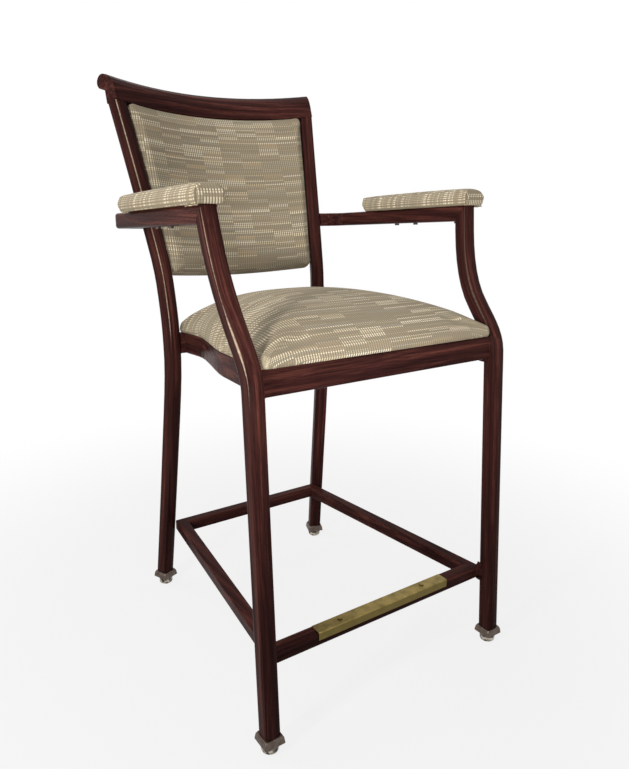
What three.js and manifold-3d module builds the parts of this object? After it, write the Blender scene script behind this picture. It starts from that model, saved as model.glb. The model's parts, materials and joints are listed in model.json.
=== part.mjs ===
// An upholstered counter stool: a welded frame of square tube with arms, a concave scroll back,
// a sloping padded seat, a foot ring with a brass wear plate, and metal glides.
// X runs across the stool, the sitter faces -Y, and the floor is at Z = 0.
import * as THREE from "three";
import { mergeVertices } from "three/addons/utils/BufferGeometryUtils.js";
import Module from "manifold-3d";

const wasm = await Module();
wasm.setup();

const degrees = Math.PI / 180;

// Clearances
const weldGap = 0.3; // between pieces that touch
const boreClearance = 0.4; // between a shank and its hole, on the radius
const cutOverrun = 5; // how far a cutting tool runs past the faces it cuts

// Square tube of the legs, posts and arms
const tubeSize = 27;
const tubeWall = 2;
const tubeCornerRadius = 5;
const tubeCrown = 1.4; // how far the front face swells between its corners

// Feet
const glideHeight = 17;
const glideRadius = 14;
const glideFlatRadius = 9;
const glideRimHeight = 5; // of the rounded lower edge
const glideBevel = 1.2;
const stemRadius = 4;
const stemLength = 14;
const capHeight = 12;
const capFootSize = 36;
const capShoulderSize = 33.4;
const capTopSize = 29.4;
const capShoulderDrop = 3.5;
const plugHeight = 12;
const plugClearance = 1.2;
const plugCornerRadius = 2.5;

// Front legs and arm posts, one tube each
const frontFootSpread = 242; // from the middle plane to the leg's centre line
const frontSeatSpread = 240.5;
const frontArmSpread = 253;
const frontLegRake = 38.6; // setback of the centre line at the underside of the seat rail
const armPostSetback = 102.5; // more setback, from there up to the arm
const armHeight = 792; // centre line of the arm at its front corner
const postRiseShares = [0, 0.09, 0.17, 0.25, 0.33, 0.45, 0.6, 0.78, 1];
const postSetbackShares = [0, 0.025, 0.1, 0.227, 0.38, 0.59, 0.765, 0.9, 1];
const postFlareShares = [0, 0, 0, 0, 0, 0.03, 0.25, 0.6, 1];

// Back legs and back posts, one tube each
const backPostHeight = 988;
const backPostSpread = 212.4;
const backPostSetback = 601.5;
const backPostTurn = 21.5 * degrees; // how far each post's front face is toed in
const backRecline = 18.3 * degrees;
const backRiseShares = [0, 0.206, 0.365, 0.445, 0.504, 0.554, 0.593, 0.633, 0.673, 0.712, 0.792, 0.876, 1];
const backSpreadShares = [
  0.934, 0.892, 0.862, 0.845, 0.831, 0.824, 0.82, 0.826, 0.835, 0.848, 0.889, 0.932, 1,
];
const backSetbackShares = [
  0.886, 0.844, 0.812, 0.798, 0.796, 0.803, 0.813, 0.821, 0.83, 0.846, 0.887, 0.932, 1,
];

// Crest rail with its scroll, in the section across the rail
const scrollNoseRadius = 14;
const scrollNoseDepth = 31.5; // from the front face to the middle of the nose
const scrollNoseRise = 44.6; // from the underside to the middle of the nose
const scrollFrontRadius = 40;
const scrollNeckRadius = 6;
const crestWall = 2.5;
const crestEndPlate = 3;

// Arms
const armSlope = 2.95 * degrees;
const armBendRadius = 25;

// Seat frame
const seatRailUnderside = 548;
const seatRailHeight = 40;
const seatRailThickness = 22;
const seatRailCornerRadius = 3;
const seatRailWall = 2;
const seatFrontSetback = 40; // front face of the front rail
const seatSlope = 3.63 * degrees;
const sideRailFrontSpread = 213;
const sideRailRearSpread = 140;
const sideRunShares = [0, 0.1, 0.19, 0.29, 0.385, 0.49, 0.625, 0.77, 0.84, 0.935, 1];
const sideSpreadShares = [1, 0.915, 0.835, 0.755, 0.675, 0.515, 0.285, 0.065, 0.01, 0, 0];

// Seat board, its corner brackets and screws
const seatBoardThickness = 12;
const seatBoardInset = 2;
const bracketThickness = 3;
const bracketLength = 75;
const bracketHoleShare = 0.3;
const seatScrewRadius = 3;
const seatScrewHeadRadius = 6;
const seatScrewHeadHeight = 3.5;

// Seat cushion
const cushionOverhang = 8; // past the front rail
const cushionSideOverhang = 5;
const cushionCornerRadius = 11;
const cushionPostClearance = 1.2;
const cushionEdgeHeight = 20;
const cushionCrown = 64;
const cushionDrawIn = 5;
const cushionSideHeightShares = [0, 0.3, 0.65, 1]; // of the edge's height
const cushionSideInsetShares = [1, 0.33, 0, 0.4]; // of the drawn-in width
const cushionTopShares = [0.97, 0.92, 0.85, 0.76, 0.65, 0.52, 0.38, 0.24, 0.1]; // of the half width
const cushionCrownPower = 2.6;
const cushionCrownEasePower = 0.85;
const cushionRoundPower = 0.6;

// Foot ring
const footRailSize = 23;
const footRailWall = 2;
const footRailCornerRadius = 3;
const footRailHeight = 140; // centre line of the ring
const footFrontLap = 1.5; // how far the ring's front corners run into the legs' corners
const footRearLap = 1;

// Brass wear plate on the front foot rail
const plateLength = 280;
const plateThickness = 1.6;
const plateBendShare = 0.7; // of the thickness, for the bevel along the bend
const plateLip = 12;
const plateScrewSpacing = 180;
const plateScrewRadius = 2.2;
const plateScrewHeadRadius = 4.2;
const plateScrewHeadHeight = 1.6;
const plateScrewLength = 9;

// Back panel
const panelDrop = 331; // height of the panel below the crest, along the posts
const panelClearance = 0.6;
const panelLayerGap = 0.8; // between the curved board and the padding on it
const backBoardThickness = 10;
const backBoardForward = 1; // middle of the board ahead of the posts' centre line
const backBoardInset = 4;
const backCushionProud = 4.5; // edge of the padding ahead of the posts' front faces
const backCushionCrown = 9;
const backCushionEdge = 5;
const backCoverProud = 1.5;
const panelEdgePower = 0.4; // how sharply the padding turns over its edge
const cushionSwellPower = 14;
const coverSwellPower = 12;
const tabLength = 40;
const tabWidth = 22;
const tabThickness = 3;
const tabRiseShares = [0.22, 0.74];

// Arm pads
const padWidth = 47;
const padOutset = 2.5; // middle of the pad outside the middle of the arm
const padFrontOverhang = 9; // past the front of the arm post
const padLength = 303;
const padRearSlant = 28;
const padCornerRadius = 7;
const padEdgeHeight = 19;
const padCrown = 10.5;
const padDrawIn = 3;
const padSideHeightShares = [0.015, 0.35, 0.65, 1]; // of the edge's height
const padSideInsetShares = [1, 0.25, 0, 0.6]; // of the drawn-in width
const padTopShares = [0.82, 0.64, 0.46, 0.28, 0.145]; // of the half width, from the edge inwards
const padCrownPower = 3;
const padCrownEasePower = 0.75;
const padBoardThickness = 10;
const padBoardInset = 5;
const screwGripShare = 0.8; // of a board's thickness, for the screws in it
const padScrewRadius = 2.5;
const padScrewHeadRadius = 4.5;
const padScrewHeadHeight = 3;
const padScrewShares = [0.14, 0.5, 0.68];

// Colours of the visible finishes
const mahogany = new THREE.MeshStandardMaterial({ color: 0x43231f, roughness: 0.42, metalness: 0.05 });
const fabric = new THREE.MeshStandardMaterial({ color: 0xb5a68a, roughness: 0.95, metalness: 0 });
const plywood = new THREE.MeshStandardMaterial({ color: 0xb48c5a, roughness: 0.85, metalness: 0 });
const brass = new THREE.MeshStandardMaterial({ color: 0xa08a4a, roughness: 0.45, metalness: 0.85 });
const bronze = new THREE.MeshStandardMaterial({ color: 0x6b6256, roughness: 0.45, metalness: 0.6 });
const nickel = new THREE.MeshStandardMaterial({ color: 0xb0aba0, roughness: 0.25, metalness: 0.95 });
const steel = new THREE.MeshStandardMaterial({ color: 0x8c8c8e, roughness: 0.4, metalness: 0.9 });

const part = new THREE.Group();
const vector = (x, y, z) => new THREE.Vector3(x, y, z);
const point = (x, y) => new THREE.Vector2(x, y);

// Adds one named piece to a group.
function add(name, geometry, material, group = part) {
  const mesh = new THREE.Mesh(geometry, material);
  mesh.name = name;
  group.add(mesh);
  return mesh;
}

// The signed area of the triangle a, b, c.
function turn(a, b, c) {
  return (b.x - a.x) * (c.y - a.y) - (b.y - a.y) * (c.x - a.x);
}

// A geometry from points and triangles that already face out.
function meshOf(points, triangles) {
  const geometry = new THREE.BufferGeometry();
  geometry.setAttribute("position", new THREE.Float32BufferAttribute(points.flatMap((p) => p.toArray()), 3));
  geometry.setIndex(triangles.flat());
  return geometry;
}

// The same piece for the other side of the middle plane.
function mirrored(geometry) {
  const copy = geometry.clone();
  copy.scale(-1, 1, 1);
  const index = copy.getIndex();
  for (let i = 0; i < index.count; i += 3) {
    const second = index.getX(i + 1);
    index.setX(i + 1, index.getX(i + 2));
    index.setX(i + 2, second);
  }
  return copy;
}

// Cuts and joins work on solids, and the result comes back as a geometry.
function solidOf(geometry) {
  const bare = geometry.clone();
  bare.deleteAttribute("normal");
  bare.deleteAttribute("uv");
  const merged = mergeVertices(bare);
  return new wasm.Manifold(
    new wasm.Mesh({
      numProp: 3,
      vertProperties: new Float32Array(merged.getAttribute("position").array),
      triVerts: new Uint32Array(merged.getIndex().array),
    }),
  );
}

function geometryOf(solid) {
  const mesh = solid.getMesh();
  const geometry = new THREE.BufferGeometry();
  geometry.setAttribute("position", new THREE.BufferAttribute(new Float32Array(mesh.vertProperties), 3));
  geometry.setIndex(new THREE.BufferAttribute(new Uint32Array(mesh.triVerts), 1));
  return geometry;
}

function cut(geometry, tools) {
  let solid = solidOf(geometry);
  for (const tool of tools) {
    solid = solid.subtract(solidOf(tool));
  }
  return geometryOf(solid);
}

// A round tool or shank along Z between two heights.
function rod(radius, x, y, bottom, top, sides = 12) {
  const geometry = new THREE.CylinderGeometry(radius, radius, top - bottom, sides);
  geometry.rotateX(Math.PI / 2);
  geometry.translate(x, y, (bottom + top) / 2);
  return geometry;
}

// A rectangle with round corners, counter-clockwise, and a front side that can swell by a crown.
function roundedLoop(width, depth, radius, crown = 0, arcSteps = 3) {
  const loop = [];
  const signs = [[1, 1], [-1, 1], [-1, -1], [1, -1]];
  signs.forEach(([sideX, sideY], corner) => {
    const front = sideY < 0 ? crown : 0;
    const middle = point(sideX * (width / 2 - radius), sideY * (depth / 2 - front - radius));
    for (let step = 0; step <= arcSteps; step += 1) {
      const angle = (corner + step / arcSteps) * (Math.PI / 2);
      loop.push(point(middle.x + radius * Math.cos(angle), middle.y + radius * Math.sin(angle)));
    }
    if (corner === 2 && crown > 0) loop.push(point(0, -depth / 2));
  });
  return loop;
}

// A place on a tube's centre line with the two directions of its section.
function station(at, along, acrossHint) {
  const tangent = along.clone().normalize();
  const across = acrossHint.clone().addScaledVector(tangent, -acrossHint.dot(tangent)).normalize();
  return { at: at.clone(), tangent, across, deep: tangent.clone().cross(across) };
}

// The same section, slid along the tube until all of it lies on a plane.
function onPlane(base, planePoint, normal) {
  const pace = base.tangent.dot(normal);
  const slide = (direction) => direction.clone().addScaledVector(base.tangent, -direction.dot(normal) / pace);
  const reach = planePoint.clone().sub(base.at).dot(normal) / pace;
  return {
    at: base.at.clone().addScaledVector(base.tangent, reach),
    tangent: base.tangent,
    across: slide(base.across),
    deep: slide(base.deep),
  };
}

// Sweeps a section along its stations. An inner loop makes a tube with open ends.
function sweep(stations, outer, inner = []) {
  const section = [...outer, ...inner];
  const points = stations.flatMap((s) =>
    section.map((p) => s.at.clone().addScaledVector(s.across, p.x).addScaledVector(s.deep, p.y)),
  );
  const triangles = [];
  const skin = (first, count, outwards) => {
    for (let row = 0; row < stations.length - 1; row += 1) {
      for (let i = 0; i < count; i += 1) {
        const a = row * section.length + first + i;
        const b = row * section.length + first + ((i + 1) % count);
        const c = b + section.length;
        const d = a + section.length;
        triangles.push(...(outwards ? [[a, b, c], [a, c, d]] : [[a, c, b], [a, d, c]]));
      }
    }
  };
  skin(0, outer.length, true);
  if (inner.length) skin(outer.length, inner.length, false);
  const last = (stations.length - 1) * section.length;
  for (const [a, b, c] of THREE.ShapeUtils.triangulateShape(outer, inner.length ? [inner] : [])) {
    const ccw = turn(section[a], section[b], section[c]) > 0;
    const [p, q] = ccw ? [b, c] : [c, b];
    triangles.push([a, q, p], [last + a, last + p, last + q]);
  }
  return meshOf(points, triangles);
}

// A closed slab between two surfaces over one grid of columns and rows.
function slab(columns, rows, frontAt, rearAt) {
  const points = [];
  for (const surface of [frontAt, rearAt]) {
    for (const v of rows) points.push(...columns.map((u) => surface(u, v)));
  }
  const wide = columns.length;
  const rear = wide * rows.length;
  const triangles = [];
  const quad = (a, b, c, d) => triangles.push([a, b, c], [a, c, d]);
  for (let j = 0; j < rows.length - 1; j += 1) {
    for (let i = 0; i < wide - 1; i += 1) {
      const a = j * wide + i;
      quad(a, a + 1, a + wide + 1, a + wide);
      quad(rear + a, rear + a + wide, rear + a + wide + 1, rear + a + 1);
    }
    const left = j * wide;
    const right = left + wide - 1;
    quad(left, left + wide, rear + left + wide, rear + left);
    quad(right, rear + right, rear + right + wide, right + wide);
  }
  const top = (rows.length - 1) * wide;
  for (let i = 0; i < wide - 1; i += 1) {
    quad(i, rear + i, rear + i + 1, i + 1);
    quad(top + i, top + i + 1, rear + top + i + 1, rear + top + i);
  }
  return meshOf(points, triangles);
}

// A padded form: rings of one outline, each drawn in by an inset, set at a height, and rounded
// towards an oval by a share.
function padded(outline, rings) {
  const xs = outline.map((p) => p.x);
  const ys = outline.map((p) => p.y);
  const middle = point((Math.max(...xs) + Math.min(...xs)) / 2, (Math.max(...ys) + Math.min(...ys)) / 2);
  const half = point((Math.max(...xs) - Math.min(...xs)) / 2, (Math.max(...ys) - Math.min(...ys)) / 2);
  const count = outline.length;
  const points = rings.flatMap(({ inset, height, round = 0 }) =>
    outline.map((p) => {
      const offset = point((p.x - middle.x) / half.x, (p.y - middle.y) / half.y);
      offset.lerp(offset.clone().normalize(), round);
      return vector(middle.x + offset.x * (half.x - inset), middle.y + offset.y * (half.y - inset), height);
    }),
  );
  const bottom = points.push(vector(middle.x, middle.y, rings[0].height)) - 1;
  const top = points.push(vector(middle.x, middle.y, rings[rings.length - 1].height)) - 1;
  const triangles = [];
  for (let i = 0; i < count; i += 1) {
    const next = (i + 1) % count;
    for (let row = 0; row < rings.length - 1; row += 1) {
      const a = row * count + i;
      const b = row * count + next;
      triangles.push([a, b, b + count], [a, b + count, a + count]);
    }
    const last = (rings.length - 1) * count;
    triangles.push([bottom, next, i], [top, last + i, last + next]);
  }
  return meshOf(points, triangles);
}

// A value read off two matching lists, in straight steps.
function between(value, keys, values) {
  let i = 0;
  while (i < keys.length - 2 && value > keys[i + 1]) i += 1;
  const share = (value - keys[i]) / (keys[i + 1] - keys[i]);
  return values[i] + (values[i + 1] - values[i]) * share;
}

const legStart = glideHeight + weldGap + capHeight;
const sideways = vector(1, 0, 0);
const upward = vector(0, 0, 1);
const legSection = roundedLoop(tubeSize, tubeSize, tubeCornerRadius, tubeCrown, 2);
const boreSize = tubeSize - 2 * tubeWall;
const tubeBore = roundedLoop(boreSize, boreSize, tubeCornerRadius - tubeWall, 0, 1);

// Centre line of the right front leg, straight to the seat and swept back above it.
const frontLegFoot = vector(frontFootSpread, 0, 0);
const frontLegSeat = vector(frontSeatSpread, frontLegRake, seatRailUnderside);
const frontLegAt = (height) => frontLegFoot.clone().lerp(frontLegSeat, height / seatRailUnderside);
const armPostRise = armHeight - seatRailUnderside;
const postKnots = postRiseShares.map((rise, i) =>
  vector(
    frontSeatSpread + (frontArmSpread - frontSeatSpread) * postFlareShares[i],
    frontLegRake + armPostSetback * postSetbackShares[i],
    seatRailUnderside + armPostRise * rise,
  ),
);
const postLead = frontLegAt(seatRailUnderside - armPostRise * postRiseShares[1]);
const postCurve = new THREE.CatmullRomCurve3([postLead, ...postKnots]);
const armCorner = postKnots[postKnots.length - 1];

// Centre line of the right back leg and post, bent at the seat and flaring upward.
const backKnots = backRiseShares.map((rise, i) =>
  vector(backPostSpread * backSpreadShares[i], backPostSetback * backSetbackShares[i], backPostHeight * rise),
);
const backCurve = new THREE.CatmullRomCurve3(backKnots);
const backAcross = vector(Math.cos(backPostTurn), -Math.sin(backPostTurn), 0);
const backSampleCount = 80;
const backSamples = backCurve.getPoints(backSampleCount);
const backHeights = backSamples.map((p) => p.z);
const backSpreads = backSamples.map((p) => p.x);
const backSetbacks = backSamples.map((p) => p.y);
const backPostAt = (height) =>
  vector(between(height, backHeights, backSpreads), between(height, backHeights, backSetbacks), height);
const backStationAt = (height) => {
  const step = tubeSize / 4;
  const along = backPostAt(height + step).sub(backPostAt(height - step));
  return station(backPostAt(height), along, backAcross);
};

// Mitre of the arm post and the arm.
const armDirection = vector(0, Math.cos(armSlope), -Math.sin(armSlope));
const postDirection = postCurve.getTangent(1);
const mitreNormal = postDirection.clone().add(armDirection).normalize();

function frontLegStations(floor) {
  const legDirection = frontLegSeat.clone().sub(frontLegFoot);
  const steps = 17;
  const foot = station(frontLegAt(legStart), legDirection, sideways);
  const stations = [onPlane(foot, vector(0, 0, floor), upward)];
  for (let i = 0; i < steps; i += 1) {
    const share = i / steps;
    stations.push(station(postCurve.getPoint(share), postCurve.getTangent(share), sideways));
  }
  const corner = armCorner.clone().addScaledVector(mitreNormal, -weldGap / 2);
  stations.push(onPlane(station(armCorner, postDirection, sideways), corner, mitreNormal));
  return stations;
}

const crestNormal = vector(0, Math.sin(backRecline), Math.cos(backRecline));
const crestBase = backKnots[backKnots.length - 1];

function backPostStations(floor) {
  const stations = [];
  const steps = 20;
  for (let i = 0; i <= steps; i += 1) {
    const share = i / steps;
    stations.push(station(backCurve.getPoint(share), backCurve.getTangent(share), backAcross));
  }
  const foot = stations.findIndex((s) => s.at.z > floor + tubeSize);
  const kept = stations.slice(foot);
  const top = kept.length - 1;
  const below = crestBase.clone().addScaledVector(crestNormal, -weldGap);
  kept[top] = onPlane(kept[top], below, crestNormal);
  return [onPlane(stations[0], vector(0, 0, floor), upward), ...kept];
}

// Adds a right piece and its mirror image on the left.
function addPair(name, geometry, material, group = part) {
  add(name + "_right", geometry, material, group);
  add(name + "_left", mirrored(geometry), material, group);
}

const tubeBottom = legStart + weldGap;
const frontLegGeometry = sweep(frontLegStations(tubeBottom), legSection, tubeBore);
const backPostGeometry = sweep(backPostStations(tubeBottom), legSection, tubeBore);
addPair("front_leg", frontLegGeometry, mahogany);
addPair("back_post", backPostGeometry, mahogany);

// Arms: straight back from the mitre, then bent in to land square on the back post's outer face.
function armStations() {
  const drop = Math.tan(armSlope) * (backPostAt(armHeight).y - armCorner.y);
  const landing = backStationAt(armHeight - drop);
  const reach = (armCorner.x - landing.at.x) / backAcross.x;
  const bendCorner = vector(armCorner.x, landing.at.y + backAcross.y * reach, 0);
  const bendTurn = Math.PI / 2 - backPostTurn;
  const tangentLength = armBendRadius * Math.tan(bendTurn / 2);
  const dropTo = (y) => armCorner.z - Math.tan(armSlope) * (y - armCorner.y);
  const corner = armCorner.clone().addScaledVector(mitreNormal, weldGap / 2);
  const stations = [onPlane(station(armCorner, armDirection, sideways), corner, mitreNormal)];
  const bendStart = bendCorner.y - tangentLength;
  const bendSteps = 7;
  for (let i = 0; i <= bendSteps; i += 1) {
    const angle = (bendTurn * i) / bendSteps;
    const x = armCorner.x - armBendRadius * (1 - Math.cos(angle));
    const y = bendStart + armBendRadius * Math.sin(angle);
    const along = vector(-Math.sin(angle), Math.cos(angle), -Math.tan(armSlope) * Math.cos(angle));
    stations.push(station(vector(x, y, dropTo(y)), along, vector(Math.cos(angle), Math.sin(angle), 0)));
  }
  const last = stations[stations.length - 1];
  const face = landing.at.clone().addScaledVector(landing.across, tubeSize / 2 + weldGap);
  stations.push(onPlane(last, face, landing.across));
  return stations;
}

const armSection = roundedLoop(tubeSize, tubeSize, tubeCornerRadius);
const armGroup = new THREE.Group();
armGroup.position.copy(armCorner);
armGroup.rotation.x = -armSlope;
part.add(armGroup);
armGroup.updateMatrixWorld(true);
const worldToArm = armGroup.matrixWorld.clone().invert();

// The pads lie in the frame of the arm, with its top at half the tube's size.
const armTop = tubeSize / 2;
const padFront = -tubeSize / 2 - padFrontOverhang;
const padScrewPlaces = padScrewShares.map((share) => padFront + padLength * share);
const padHoles = padScrewPlaces.map((y) =>
  rod(padScrewRadius + boreClearance, 0, y, -armTop - cutOverrun, armTop + cutOverrun),
);
const armTube = sweep(armStations(), armSection, tubeBore).applyMatrix4(worldToArm);
const armRight = cut(armTube, padHoles);

// Everything on the arm is built on the right and mirrored through the stool's middle plane.
function addArmPair(name, geometry, material) {
  const right = geometry.clone().applyMatrix4(armGroup.matrixWorld);
  add(name + "_right", right, material);
  add(name + "_left", mirrored(right), material);
}
addArmPair("arm_rail", armRight, mahogany);

// Outline of an arm pad in plan, with a slanting rear end, drawn in by an inset.
function padOutline(inset) {
  const half = padWidth / 2 - inset;
  const front = padFront + inset;
  const rear = padFront + padLength - inset;
  const slant = padRearSlant / 2;
  const corners = [
    [padOutset + half, rear + slant],
    [padOutset - half, rear - slant],
    [padOutset - half, front],
    [padOutset + half, front],
  ];
  const radius = Math.max(padCornerRadius - inset, padCornerRadius / 3);
  const outline = [];
  const arcSteps = 3;
  corners.forEach(([x, y], corner) => {
    const sideX = corner === 0 || corner === 3 ? 1 : -1;
    const sideY = corner < 2 ? 1 : -1;
    for (let step = 0; step <= arcSteps; step += 1) {
      const angle = (corner + step / arcSteps) * (Math.PI / 2);
      outline.push(point(
        x - sideX * radius + radius * Math.cos(angle),
        y - sideY * radius + radius * Math.sin(angle),
      ));
    }
  });
  return outline;
}

// An extruded plate from a plan outline and round holes.
function plate(outline, bottom, thickness, holes = []) {
  const shape = new THREE.Shape(outline);
  for (const { x, y, radius } of holes) {
    const hole = new THREE.Path();
    hole.absarc(x, y, radius, 0, 2 * Math.PI, true);
    shape.holes.push(hole);
  }
  const options = { depth: thickness, bevelEnabled: false, curveSegments: 8 };
  const geometry = new THREE.ExtrudeGeometry(shape, options);
  geometry.translate(0, 0, bottom);
  return geometry;
}

// A welded-together index makes an extruded or turned piece one closed body.
function joined(geometry) {
  const bare = geometry.clone();
  bare.deleteAttribute("normal");
  bare.deleteAttribute("uv");
  return mergeVertices(bare);
}

const padBase = armTop + weldGap;
const padHoleList = padScrewPlaces.map((y) => ({ x: 0, y, radius: padScrewRadius + boreClearance }));
const padBoard = plate(padOutline(padBoardInset), padBase, padBoardThickness, padHoleList);
addArmPair("arm_pad_board", joined(padBoard), plywood);

const padRings = padSideHeightShares.map((share, i) => ({
  inset: padDrawIn * padSideInsetShares[i],
  height: padBase + padEdgeHeight * share,
}));
for (const share of padTopShares) {
  const rise = padCrown * Math.pow(1 - share ** padCrownPower, padCrownEasePower);
  padRings.push({ inset: (padWidth / 2) * (1 - share), height: padBase + padEdgeHeight + rise });
}
const padPocketDepth = padBoardThickness + weldGap + cutOverrun;
const padPocket = plate(padOutline(padBoardInset - weldGap), padBase - cutOverrun, padPocketDepth);
addArmPair("arm_pad", cut(padded(padOutline(0), padRings), [padPocket]), fabric);

// Pan-head screws, heads underneath, in the order of their places.
function screw(radius, headRadius, headHeight, seat, length, x, y) {
  const head = rod(headRadius, x, y, seat - headHeight, seat);
  const shank = rod(radius, x, y, seat - headHeight / 2, seat + length);
  return geometryOf(solidOf(head).add(solidOf(shank)));
}
const padScrewLength = tubeSize + padBoardThickness * screwGripShare;
padScrewPlaces.forEach((y, i) => {
  const seat = -armTop - weldGap;
  const geometry = screw(padScrewRadius, padScrewHeadRadius, padScrewHeadHeight, seat, padScrewLength, 0, y);
  addArmPair("arm_pad_screw_" + (i + 1), geometry, steel);
});

// The concave back: a point at a share across, a height on the posts and a distance forward.
function backPoint(across, height, forward) {
  const post = backPostAt(height);
  const angle = across * backPostTurn;
  const bow = (post.x * (Math.cos(angle) - Math.cos(backPostTurn))) / Math.sin(backPostTurn);
  const normal = vector(
    -Math.sin(angle),
    -Math.cos(angle) * Math.cos(backRecline),
    Math.cos(angle) * Math.sin(backRecline),
  );
  const surface = vector(
    (post.x * Math.sin(angle)) / Math.sin(backPostTurn),
    post.y + bow * Math.cos(backRecline),
    post.z - bow * Math.sin(backRecline),
  );
  return surface.addScaledVector(normal, forward);
}
const halfArc = (height) => (backPostAt(height).x * backPostTurn) / Math.sin(backPostTurn);

// Section of the crest rail: depth behind the posts' centre line, and rise from its underside.
function crestLoop(inset, noseSteps, browSteps) {
  const front = -tubeSize / 2;
  const nose = point(front + scrollNoseDepth, scrollNoseRise);
  const noseRadius = scrollNoseRadius - inset;
  const brow = scrollFrontRadius - scrollNoseRadius;
  const browX = front + scrollFrontRadius;
  const browY = nose.y - Math.sqrt(brow * brow - (browX - nose.x) ** 2);
  const meetAngle = Math.atan2(nose.y - browY, nose.x - browX);
  const neckReach = scrollNeckRadius + scrollNoseRadius;
  const neck = point(tubeSize / 2 + scrollNeckRadius, 0);
  neck.y = nose.y - Math.sqrt(neckReach * neckReach - (neck.x - nose.x) ** 2);
  const neckAngle = Math.atan2(neck.y - nose.y, neck.x - nose.x);
  const loop = [point(front + inset, inset), point(tubeSize / 2 - inset, inset)];
  const arc = (middle, radius, from, to, steps, first = 1) => {
    for (let step = first; step <= steps; step += 1) {
      const angle = from + ((to - from) * step) / steps;
      loop.push(point(middle.x + radius * Math.cos(angle), middle.y + radius * Math.sin(angle)));
    }
  };
  arc(neck, scrollNeckRadius + inset, Math.PI, Math.PI + neckAngle, 2, 0);
  arc(nose, noseRadius, neckAngle, meetAngle, noseSteps);
  arc(point(browX, browY), scrollFrontRadius - inset, meetAngle, Math.PI, browSteps);
  return loop;
}

// Stations of the crest along its bow, between two shares across.
function crestStations(from, to, steps) {
  const stations = [];
  for (let i = 0; i <= steps; i += 1) {
    const across = from + ((to - from) * i) / steps;
    const at = backPoint(across, crestBase.z, 0);
    const rearward = at.clone().sub(backPoint(across, crestBase.z, 1));
    stations.push({ at, across: rearward, deep: crestNormal });
  }
  return stations;
}
const crestEndShare = 1 + tubeSize / 2 / halfArc(crestBase.z);
const plateShare = crestEndPlate / halfArc(crestBase.z);
const gapShare = weldGap / halfArc(crestBase.z);
const crestRailShare = crestEndShare - plateShare - gapShare;
const crestSteps = 18;
const crestSection = crestLoop(0, 9, 4);
const crestBore = crestLoop(crestWall, 4, 2);
const crestRail = sweep(crestStations(-crestRailShare, crestRailShare, crestSteps), crestSection, crestBore);
add("crest_rail", crestRail, mahogany);
const crestEnd = sweep(crestStations(crestEndShare - plateShare, crestEndShare, 1), crestSection);
addPair("crest_end", crestEnd, mahogany);

// Back panel: a curved board on four welded tabs, padding in front and an outer cover behind.
const panelBottom = crestBase.z - panelDrop * Math.cos(backRecline);
const panelTop = crestBase.z - weldGap / Math.cos(backRecline);
const evenShares = (count) => Array.from({ length: count + 1 }, (_, i) => i / count);
const spread = (count) => evenShares(count).map((share) => share * 2 - 1);
const eased = (count) => spread(count).map((share) => Math.sin((share * Math.PI) / 2));
const panelEdge = (height) => 1 - (tubeSize / 2 + panelClearance) / halfArc(height);
function panelPoint(u, v, forward, inset) {
  const bottom = panelBottom + inset;
  const top = panelTop - inset / 4;
  const height = bottom + ((top - bottom) * (v + 1)) / 2;
  const edge = panelEdge(height) - inset / 4 / halfArc(height);
  return backPoint(u * edge, height, forward);
}
const boardFront = backBoardForward + backBoardThickness / 2;
const boardRear = backBoardForward - backBoardThickness / 2;
const backBoard = slab(
  spread(16),
  spread(8),
  (u, v) => panelPoint(u, v, boardFront, backBoardInset),
  (u, v) => panelPoint(u, v, boardRear, backBoardInset),
);
add("back_board", backBoard, plywood);

const swell = (u, v, power) =>
  Math.pow((1 - Math.abs(u) ** power) * (1 - Math.abs(v) ** power), panelEdgePower);
const cushionEdgeForward = boardFront + panelLayerGap + backCushionEdge;
const cushionFaceForward = tubeSize / 2 + backCushionProud;
const backCushion = slab(
  eased(18),
  eased(18),
  (u, v) => {
    const face = (cushionFaceForward - cushionEdgeForward) * swell(u, v, cushionSwellPower);
    const crown = backCushionCrown * (1 - u * u) * (1 - v * v);
    return panelPoint(u, v, cushionEdgeForward + face + crown, 0);
  },
  (u, v) => panelPoint(u, v, boardFront + panelLayerGap, 0),
);
add("back_cushion", backCushion, fabric);

function backTab(riseShare, grow) {
  const height = panelBottom + (panelTop - panelBottom) * riseShare;
  const edge = panelEdge(height) + (panelClearance - weldGap) / halfArc(height);
  const reach = (tabWidth + grow) / halfArc(height);
  return slab(
    [edge - reach, edge - reach / 2, edge + grow / halfArc(height)],
    [height - tabLength / 2 - grow, height + tabLength / 2 + grow],
    (u, h) => backPoint(u, h, boardRear - weldGap + grow),
    (u, h) => backPoint(u, h, boardRear - weldGap - tabThickness - grow),
  );
}
const tabNames = ["lower", "upper"];
const tabTools = [];
tabRiseShares.forEach((share, i) => {
  addPair("back_tab_" + tabNames[i], backTab(share, 0), mahogany);
  tabTools.push(backTab(share, weldGap), mirrored(backTab(share, weldGap)));
});
const coverEdge = boardRear - weldGap - tabThickness - 2 * weldGap;
const coverFace = -tubeSize / 2 - backCoverProud;
const backCover = slab(
  eased(14),
  eased(10),
  (u, v) => panelPoint(u, v, boardRear - panelLayerGap, 0),
  (u, v) => panelPoint(u, v, coverEdge + (coverFace - coverEdge) * swell(u, v, coverSwellPower), 0),
);
add("back_cover", cut(backCover, tabTools), fabric);

// Seat frame, in its own frame: the rails' tops at zero height and the front face at zero depth.
const seatGroup = new THREE.Group();
seatGroup.position.set(0, seatFrontSetback, seatRailUnderside + seatRailHeight);
seatGroup.rotation.x = -seatSlope;
part.add(seatGroup);
seatGroup.updateMatrixWorld(true);
const worldToSeat = seatGroup.matrixWorld.clone().invert();

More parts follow.
